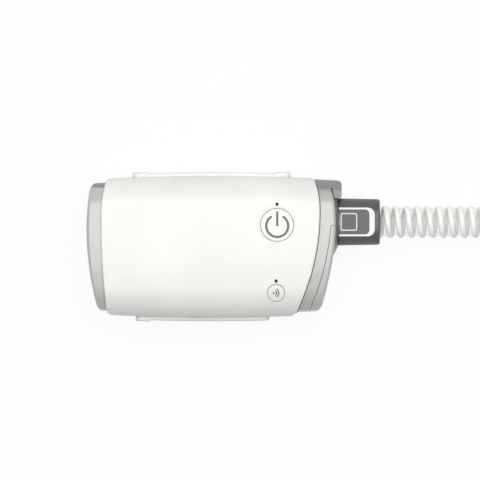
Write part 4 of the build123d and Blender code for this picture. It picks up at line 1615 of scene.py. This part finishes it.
@dataclass(frozen=True)
class Filter:
    """The filter fleece behind the cover: a soft block that follows the cover's curve.

    Attributes:
        inner, outer: the curves in plan of its two faces.
        thick: its thickness before it is bent to them.
        ends_y, ends_z: where it starts and ends.
        cells: how many cells its lattice has each way.
        corner: the rounding of its edges.
        wave_depth, long_waves, cross_waves: the depth of the felt's waves, and their rates.
        under: how far its skin lies inside the block.
    """

    inner: tuple = (
        (0.0609, 0.016), (0.0598, 0.0043), (0.0569, -0.0113), (0.0529, -0.0244), (0.0445, -0.044)
    )
    outer: tuple = ((0.0605, 0.0349), (0.0635, 0.018), (0.0608, -0.013), (0.0553, -0.0351))
    thick: float = 0.0085
    ends_y: tuple = (-0.0298, -0.0082)
    ends_z: tuple = (0.0142, 0.0378)
    cells: tuple = (10, 44, 48)
    corner: float = 0.0012
    wave_depth: float = 0.00009
    long_waves: tuple = (2900.0, 900.0)
    cross_waves: tuple = (2600.0, 700.0)
    under: float = 0.0001

    def build(self) -> list[Piece]:
        """Make the fleece.

        Each point q of a box is moved to c + r d / |d|, where c is q held inside the box less r and
        d = q - c. Two waves of the felt then move it along that way.

        Returns:
            The fleece alone.
        """
        cube, faces = block_surface(self.cells)
        ends = np.array([(-self.thick / 2, self.thick / 2), self.ends_y, self.ends_z])
        half, middle = (ends[:, 1] - ends[:, 0]) / 2, ends.mean(axis=1)
        box = cube * half
        centre = np.clip(box, self.corner - half, half - self.corner)
        away = box - centre
        away = away / np.maximum(np.linalg.norm(away, axis=1), 1e-9)[:, None]
        _, y, z = box.T
        (fine_y, slow_z), (fine_z, slow_y) = self.long_waves, self.cross_waves
        wave = np.sin(y * fine_y + 2 * np.sin(z * slow_z)) * np.sin(z * fine_z + y * slow_y)
        soft = centre + away * (self.corner + self.wave_depth * wave - self.under)[:, None]
        across, y, z = (soft + middle).T
        share = across / self.thick + 0.5
        x = EndCurve(self.inner).plain(y) * (1 - share) + EndCurve(self.outer).plain(y) * share
        mesh = np.column_stack([x, y, z]), faces
        return [make_piece("filter_fleece", mesh, "filter_fibre", nodes=["air_filter"])]


# --- hose -----------------------------------------------------------------------------------------


class Line:
    """A smooth line through space, read from a NURBS spline with the given control points."""

    def __init__(self, controls: Sequence[tuple], resolution: int = 24) -> None:
        """Work out the line's points and each one's length from its start.

        Args:
            controls: the control points of the spline.
            resolution: how many points it gives for each of them.
        """
        curve = bpy.data.curves.new("route", "CURVE")
        curve.dimensions = "3D"
        curve.resolution_u = resolution
        spline = curve.splines.new("NURBS")
        spline.points.add(len(controls) - 1)
        spline.points.foreach_set("co", [v for point in controls for v in (*point, 1.0)])
        spline.order_u = 3
        spline.use_endpoint_u = True
        holder = bpy.data.objects.new("route", curve)
        bpy.context.scene.collection.objects.link(holder)
        mesh = bpy.data.meshes.new_from_object(holder)
        flat = np.zeros(3 * len(mesh.vertices))
        mesh.vertices.foreach_get("co", flat)
        self.points = flat.reshape(-1, 3)
        bpy.data.meshes.remove(mesh)
        bpy.data.objects.remove(holder)
        bpy.data.curves.remove(curve)
        steps = np.linalg.norm(np.diff(self.points, axis=0), axis=1)
        self.run = np.concatenate([[0.0], np.cumsum(steps)])
        self.length = float(self.run[-1])

    def at(self, run: Array) -> Array:
        """The points at these lengths along the line."""
        return np.stack([np.interp(run, self.run, self.points[:, k]) for k in range(3)], axis=-1)

    def around(self, run: Array, angle: Array, radius: Array, reach: float = 0.0008) -> Array:
        """Points round the line.

        p = c(run) + radius (cos(angle) side + sin(angle) up), where side is level and up is square
        to it and to the line.

        Args:
            run: lengths along the line.
            angle: angles round it, from its left side over its top.
            radius: distances from it.
            reach: how far to each side its direction is read.
        Returns:
            The points, one row each.
        """
        middle = np.clip(run, reach, self.length - reach)
        ahead = self.at(middle + reach) - self.at(middle - reach)
        ahead /= np.linalg.norm(ahead, axis=-1, keepdims=True)
        side = np.cross(np.array(UP), ahead)
        side /= np.linalg.norm(side, axis=-1, keepdims=True)
        up = np.cross(ahead, side)
        wide, high = (radius * np.cos(angle))[..., None], (radius * np.sin(angle))[..., None]
        return (self.at(run) + wide * side + high * up).reshape(-1, 3)


@dataclass(frozen=True)
class Hose:
    """The air hose: its route over the table, then a coil of three flat layers, turning clockwise.

    Its film and the rib wound into it are one piece, which moves along with its strap and cuffs.

    Attributes:
        exit: where it leaves its plug.
        straight, landing: x of the control points on its level part, and of the first on the table.
        radius: its outer radius.
        coil_centre, coil_radius, layers: the coil's middle, its radius and how many layers it has.
        coiled, climb: how far it turns in all, and where in a turn it climbs, in degrees.
        points_per_turn: the control points of a turn.
        knot_share: the coil's radius as a share of theirs.
        cuff_start, cuff_way, cuff_run: where the mask cuff starts, its direction, and how far along it
            the last two control points lie.
        pitch, twist: the length of a turn of the rib, and the angle at which it starts.
        rib_radius, rib_reach, rib_around: half the rib's height, half its width and its points round it.
        film_radius, film_dip, film_rows: the film's radius at the rib, how far it dips between two
            turns, and its rows in a turn.
        around: points round the hose, on both.
    """

    exit: tuple = (0.0892, 0.0134, 0.026)
    straight: tuple = (0.1324, 0.173)
    landing: float = 0.205
    radius: float = 0.00875
    coil_radius: float = 0.093
    coil_centre: tuple = (0.263, -0.0615)
    coiled: float = 945.0
    climb: tuple = (262.0, 314.0)
    layers: int = 3
    points_per_turn: int = 12
    knot_share: float = 0.966
    cuff_start: tuple = (0.17271, -0.08894, 0.0481)
    cuff_way: tuple = (-0.12434, 0.99224, 0.0)
    cuff_run: tuple = (-0.014, 0.003)
    pitch: float = 0.00575
    rib_radius: float = 0.00124
    rib_reach: float = 0.00156
    rib_around: int = 8
    twist: float = math.pi
    film_radius: float = 0.0082
    film_dip: float = 0.0004
    film_rows: int = 4
    around: int = 24

    def controls(self) -> list[tuple]:
        """The control points of the hose's route.

        A coil's control points lie outside it: its radius is knot_share of theirs. Each layer climbs
        to the next between the two angles of climb, in degrees.

        Returns:
            The listed points down to the table, then the coil's, then two into the mask cuff.
        """
        _, exit_y, exit_z = self.exit
        coil_x, coil_y = self.coil_centre
        start_y = coil_y + self.coil_radius
        points = [self.exit, *((x, exit_y, exit_z) for x in self.straight)]
        points += [(x, start_y, self.radius) for x in (self.landing, coil_x)]
        step = 360 / self.points_per_turn
        turned_by = (np.arange(int(self.coiled / step)) + 0.5) * step
        turns, rest = np.divmod(turned_by, 360)
        share = np.interp(rest, self.climb, (0.0, 1.0))
        angle = np.radians(90 - turned_by)
        reach = self.coil_radius / self.knot_share
        level = self.radius + 2 * self.radius * (turns + share)
        coil = [coil_x + reach * np.cos(angle), coil_y + reach * np.sin(angle), level]
        points += [tuple(point) for point in np.column_stack(coil)]
        start, way = np.array(self.cuff_start), np.array(self.cuff_way)
        return points + [tuple(start + run * way) for run in self.cuff_run]

    def film(self, line: Line) -> Mesh:
        """The film, whose radius dips by film_dip between two turns of the rib.

        Its columns run along the hose and its rows follow the helix, so row r and column c lie at the
        length (r / film_rows + c / around) pitch.

        Args:
            line: the middle line of the hose.
        Returns:
            Its points and faces.
        """
        count = math.ceil(line.length / self.pitch) + 1
        rows = np.arange(-self.film_rows, self.film_rows * count)
        row, column = np.meshgrid(rows, np.arange(self.around), indexing="ij")
        run = (row / self.film_rows + column / self.around) * self.pitch
        dip = self.film_dip * 0.5 * (1 - np.cos(2 * np.pi * row / self.film_rows))
        angle = 2 * np.pi * column / self.around + self.twist
        points = line.around(np.clip(run, 0.0, line.length), angle, self.film_radius - dip)
        numbers = np.arange(run.size).reshape(run.shape)
        last = np.roll(numbers[:, :1], -self.film_rows, axis=0)
        following = np.concatenate([numbers[:, 1:], last], axis=1)
        quads = np.stack([following[:-1], following[1:], numbers[1:], numbers[:-1]], axis=-1)
        quads = quads[: -self.film_rows].reshape(-1, 4)
        runs = run.reshape(-1)[quads]
        inside = (runs.max(axis=1) > 1e-6) & (runs.min(axis=1) < line.length - 1e-6)
        return points, quads[inside].tolist()

    def rib(self, line: Line) -> Mesh:
        """The rib: a flattened cord along the helix angle = 2 pi run / pitch + twist.

        Args:
            line: the middle line of the hose.
        Returns:
            Its points and faces.
        """
        steps = np.arange(0.0, line.length, self.pitch / self.around)[:, None]
        ring = np.linspace(0, 2 * np.pi, self.rib_around, endpoint=False)
        run = steps + self.rib_reach * np.cos(ring)
        radius = self.radius - self.rib_radius * (1 - np.sin(ring))
        angle = 2 * np.pi * steps / self.pitch + self.twist + 0 * run
        return line.around(run, angle, radius + 0 * run), tube_faces(len(steps), len(ring))

    def build(self) -> list[Piece]:
        """Returns:
            The mask cuff, the strap and the hose.
        """
        ends = [MaskCuff(self).build(), Strap(self).build()]
        line = Line(self.controls())
        LOG.info("hose length %.4f m", line.length)
        film, rib = self.film(line), self.rib(line)
        nodes = ["air_hose_run", "air_hose_coil"]
        hose = make_piece("air_hose_line", joined([film, rib]), "hose_skin", "air_hose", nodes)
        hose.data.materials.append(Finishes.get("winding_white"))
        slots = np.repeat([0, 1], [len(film[1]), len(rib[1])]).astype(np.int32)
        hose.data.polygons.foreach_set("material_index", slots)
        weld(hose)
        [tuple(point) for point in line.points[::4]] + [tuple(line.points[-1])]
        return [*ends, hose]


@dataclass(frozen=True)
class MaskCuff:
    """The soft cuff for the mask, with six grip grooves and a rolled mouth.

    Attributes:
        hose: the hose that it ends.
        bore, inner, outer: the radii of its passage, its mouth and its outside.
        length, step: its length, and where the mouth narrows to the passage.
        grip: where the grooves start and end.
        grip_bed: where the plain skin before them ends, and the one after them starts.
        groove_pitch, groove_depth: the grooves' distance and depth.
        hose_rounds, mouth_rounds: the rounding of each corner at its two ends.
    """

    hose: Hose
    bore: float = 0.0072
    inner: float = 0.011
    outer: float = 0.013
    length: float = 0.032
    step: float = 0.008
    grip: tuple = (0.0045, 0.0145)
    grip_bed: tuple = (0.004, 0.016)
    groove_pitch: float = 0.00167
    groove_depth: float = 0.00055
    hose_rounds: tuple = (0.0003, 0.0018, 0.0)
    mouth_rounds: tuple = (0.0, 0.0009, 0.0008, 0.0006, 0.0004)

    def build(self) -> Piece:
        """Make the cuff, turned from its profile, where its grip has r = outer - depth sin^2.

        Returns:
            The piece.
        """
        along = np.linspace(*self.grip, 81)
        wave = np.sin(np.pi * (along - along[0]) / self.groove_pitch)
        grooves = self.outer - self.groove_depth * wave**2
        bed_start, bed_end = self.grip_bed
        back = [(0.0, self.bore), (0.0, self.outer), (bed_start, self.outer)]
        mouth = [(bed_end, self.outer), (self.length, self.outer), (self.length, self.inner)]
        mouth += [(self.step, self.inner), (self.step, self.bore)]
        sides = zip((back, mouth), (self.hose_rounds, self.mouth_rounds))
        back, mouth = (rounded_profile(np.column_stack(side)) for side in sides)
        profile = np.concatenate([back, np.column_stack([along, grooves]), mouth])
        mesh = turned(profile, self.hose.cuff_start, self.hose.cuff_way)
        return make_piece("mask_cuff_rubber", mesh, "plug_dark", "air_hose", ["mask_cuff"])


@dataclass(frozen=True)
class Strap:
    """The fabric strap round the coil's layers, with its hook-and-loop end pressed on outside.

    Attributes:
        hose: the hose that it holds.
        width, thick, corner: its section.
        middle_angle: where round the coil it lies.
        table: how far it stays over the table.
        pressed: the share of its thickness that is left under the coil.
        slack: how far it lies off the layers.
        ripple, ripple_rates: the depth and the rates of its ripples.
        flap: where the pressed-on end starts and stops, in shares of half the stack.
        flap_squareness, flap_tip: how square its ends are, and the share of the section at their tips.
        turn_steps, side_steps, flap_steps: points round a layer, down a side and along the flap.
    """

    hose: Hose
    width: float = 0.0155
    thick: float = 0.001
    corner: float = 0.0004
    middle_angle: float = math.radians(-40.0)
    table: float = 0.00012
    pressed: float = 0.25
    slack: float = 0.00008
    ripple: float = 0.00006
    ripple_rates: tuple = (900.0, 300.0)
    flap: tuple = (-0.6, 0.75)
    flap_squareness: int = 14
    flap_tip: float = 0.02
    turn_steps: int = 25
    side_steps: int = 15
    flap_steps: int = 22

    @property
    def half_stack(self) -> float:
        """Half the height between the middles of the lowest and the highest layer."""
        return self.hose.radius * (self.hose.layers - 1)

    def band(self, path: Sequence[tuple], lift: float, closed: bool) -> Mesh:
        """A band of the strap's section along a path round the coil's layers.

        Args:
            path: angles round a layer and heights over the stack's middle.
            lift: how far it lies over the layers.
            closed: whether it runs back to its start; otherwise its ends are rounded off.
        Returns:
            Its points and faces.
        """
        hose, half_stack = self.hose, self.half_stack
        middle, half_sides = (0.0, self.thick / 2), (self.width / 2, self.thick / 2)
        section = rounded_outline(middle, *half_sides, self.corner, steps=4, between=14)
        turn, level = np.array(path).T[:, :, None]
        across, out = section.T[:, None, :]
        ends = 1.0
        if not closed:
            place = np.linspace(-1, 1, len(path))[:, None]
            ends = np.sqrt(np.clip(1 - np.abs(place) ** self.flap_squareness, self.flap_tip**2, 1))
        rate_across, rate_along = self.ripple_rates
        wave = np.sin(across * rate_across + level * rate_along)
        ripple = self.ripple * wave * (out > self.thick / 2)
        reach = hose.radius + self.slack + lift + (out + ripple) * ends
        distance = hose.coil_radius + reach * np.cos(turn)
        height = half_stack + hose.radius + level + reach * np.sin(turn)
        height = np.maximum(height, self.table + (self.thick - out) * self.pressed)
        angle = self.middle_angle + across * ends / hose.coil_radius
        x = hose.coil_centre[0] + distance * np.cos(angle)
        y = hose.coil_centre[1] + distance * np.sin(angle)
        points = np.stack([x, y, height + 0 * angle], axis=-1).reshape(-1, 3)
        faces = tube_faces(len(path), len(section), closed)
        return points, [face[::-1] for face in faces]

    def build(self) -> Piece:
        """Make the strap: a stadium round the stacked layers, flat where the coil rests on it.

        Returns:
            The piece.
        """
        top = self.half_stack
        turns, levels = np.linspace(0, np.pi, self.turn_steps), np.linspace(top, -top, self.side_steps)
        around = [(turn, top) for turn in turns] + [(np.pi, level) for level in levels[1:-1]]
        around += [(np.pi + turn, -top) for turn in turns] + [(0.0, -level) for level in levels[1:-1]]
        flap = [(0.0, share * top) for share in np.linspace(*self.flap, self.flap_steps)]
        mesh = joined([self.band(around, 0.0, True), self.band(flap, self.thick, False)])
        return make_piece("coil_strap", mesh, "tie_black", "air_hose", ["hose_tie"])


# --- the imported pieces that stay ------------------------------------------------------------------


def dress_nodes(frame: dict) -> None:
    """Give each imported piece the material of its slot.

    Args:
        frame: the loaded frame, with its record and its nodes.
    """
    slots = {part["node"]: part["material_slot"] for part in frame["record"]["subparts"]}
    for name, node in frame["nodes"].items():
        node.data.materials.clear()
        node.data.materials.append(Finishes.get(slots[name]))


# --- studio ---------------------------------------------------------------------------------------


@dataclass(frozen=True)
class Camera:
    """Looks straight down on the machine, with its hose leaving the picture on the right.

    Attributes:
        middle: the point that it looks at.
        seen: the width that the picture shows there.
        distance: how far above that point it hangs.
        sensor: the width of its sensor in millimetres.
    """

    middle: tuple = (0.01377, 0.003645, 0.026)
    seen: float = 0.2592
    distance: float = 6.0
    sensor: float = 36.0

    def build(self) -> None:
        """Make the camera."""
        lens = bpy.data.cameras.new("camera")
        lens.sensor_width = self.sensor
        lens.lens = self.sensor * self.distance / self.seen
        lens.clip_end = 20.0
        camera = bpy.data.objects.new("camera", lens)
        camera.location = (*self.middle[:2], self.middle[2] + self.distance)
        bpy.context.scene.collection.objects.link(camera)
        bpy.context.scene.camera = camera


@dataclass(frozen=True)
class Studio:
    """A white table, an even white room and a large soft lamp overhead.

    Attributes:
        room_strength: how bright the room is.
        lamp_size, lamp_watts, lamp_place: the lamp's side, power and place.
        lamp_tilt: how far it leans, in degrees.
        table_reach, table_tints: half the table's side, and the two colours that it changes between.
        table_glow: how much of it the camera sees as plain white.
    """

    room_strength: float = 0.28
    lamp_size: float = 0.9
    lamp_watts: float = 12.8
    lamp_place: tuple = (0.05, 0.25, 1.2)
    lamp_tilt: float = -11.5
    table_reach: float = 8.0
    table_tints: tuple = ((0.9, 0.9, 0.9), (0.93, 0.93, 0.93))
    table_glow: float = 0.92

    def build(self) -> None:
        """Make the room, the lamp and the table."""
        scene = bpy.context.scene
        scene.view_settings.view_transform = "Standard"
        scene.world = bpy.data.worlds.new("room")
        scene.world.use_nodes = True
        sky = scene.world.node_tree.nodes["Background"]
        sky.inputs["Color"].default_value = (1.0, 1.0, 1.0, 1.0)
        sky.inputs["Strength"].default_value = self.room_strength
        lamp = bpy.data.lights.new("softbox", "AREA")
        lamp.shape = "SQUARE"
        lamp.size = self.lamp_size
        lamp.energy = self.lamp_watts
        holder = bpy.data.objects.new("softbox", lamp)
        holder.location = self.lamp_place
        holder.rotation_euler = (math.radians(self.lamp_tilt), 0.0, 0.0)
        scene.collection.objects.link(holder)
        self.build_table()

    def build_table(self) -> None:
        """Make a plain table top that goes on past every view, nearly white to the camera."""
        graph = Graph("table_white")
        cloud = graph.noise(0.4, 2.0)
        diffuse = graph.surface(Base_Color=graph.blend(cloud, *self.table_tints), Roughness=0.8)
        glow = graph.node("ShaderNodeEmission", {"Color": (1.0, 1.0, 1.0), "Strength": 1.0})
        seen = graph.node("ShaderNodeLightPath", output="Is Camera Ray")
        for ray in ("Is Glossy Ray", "Is Transmission Ray"):
            seen = seen.apply("MAXIMUM", graph.node("ShaderNodeLightPath", output=ray))
        shader = graph.mixed(seen * self.table_glow, diffuse, glow)
        mesh = bpy.data.meshes.new("table")
        corners = self.table_reach * np.array([(-1, -1, 0), (1, -1, 0), (1, 1, 0), (-1, 1, 0)])
        mesh.from_pydata(corners.tolist(), [], [(0, 1, 2, 3)])
        mesh.materials.append(graph.finish(shader))
        table = bpy.data.objects.new("table", mesh)
        bpy.context.scene.collection.objects.link(table)


def main() -> None:
    """Load the frame, light it, dress it and report each piece made for it."""
    logging.basicConfig(level=logging.INFO, format="%(message)s")
    for item in list(bpy.data.objects):
        bpy.data.objects.remove(item)
    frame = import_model()
    Camera().build()
    Studio().build()
    dress_nodes(frame)
    for part in (Casings(), Lamps(), Feet(), Seal(), *RAILS, Marks(), Hose(), Filter()):
        for piece in part.build():
            LOG.info("%s: %s, %d faces", type(part).__name__, piece.name, len(piece.data.polygons))


if __name__ == "__main__":
    main()
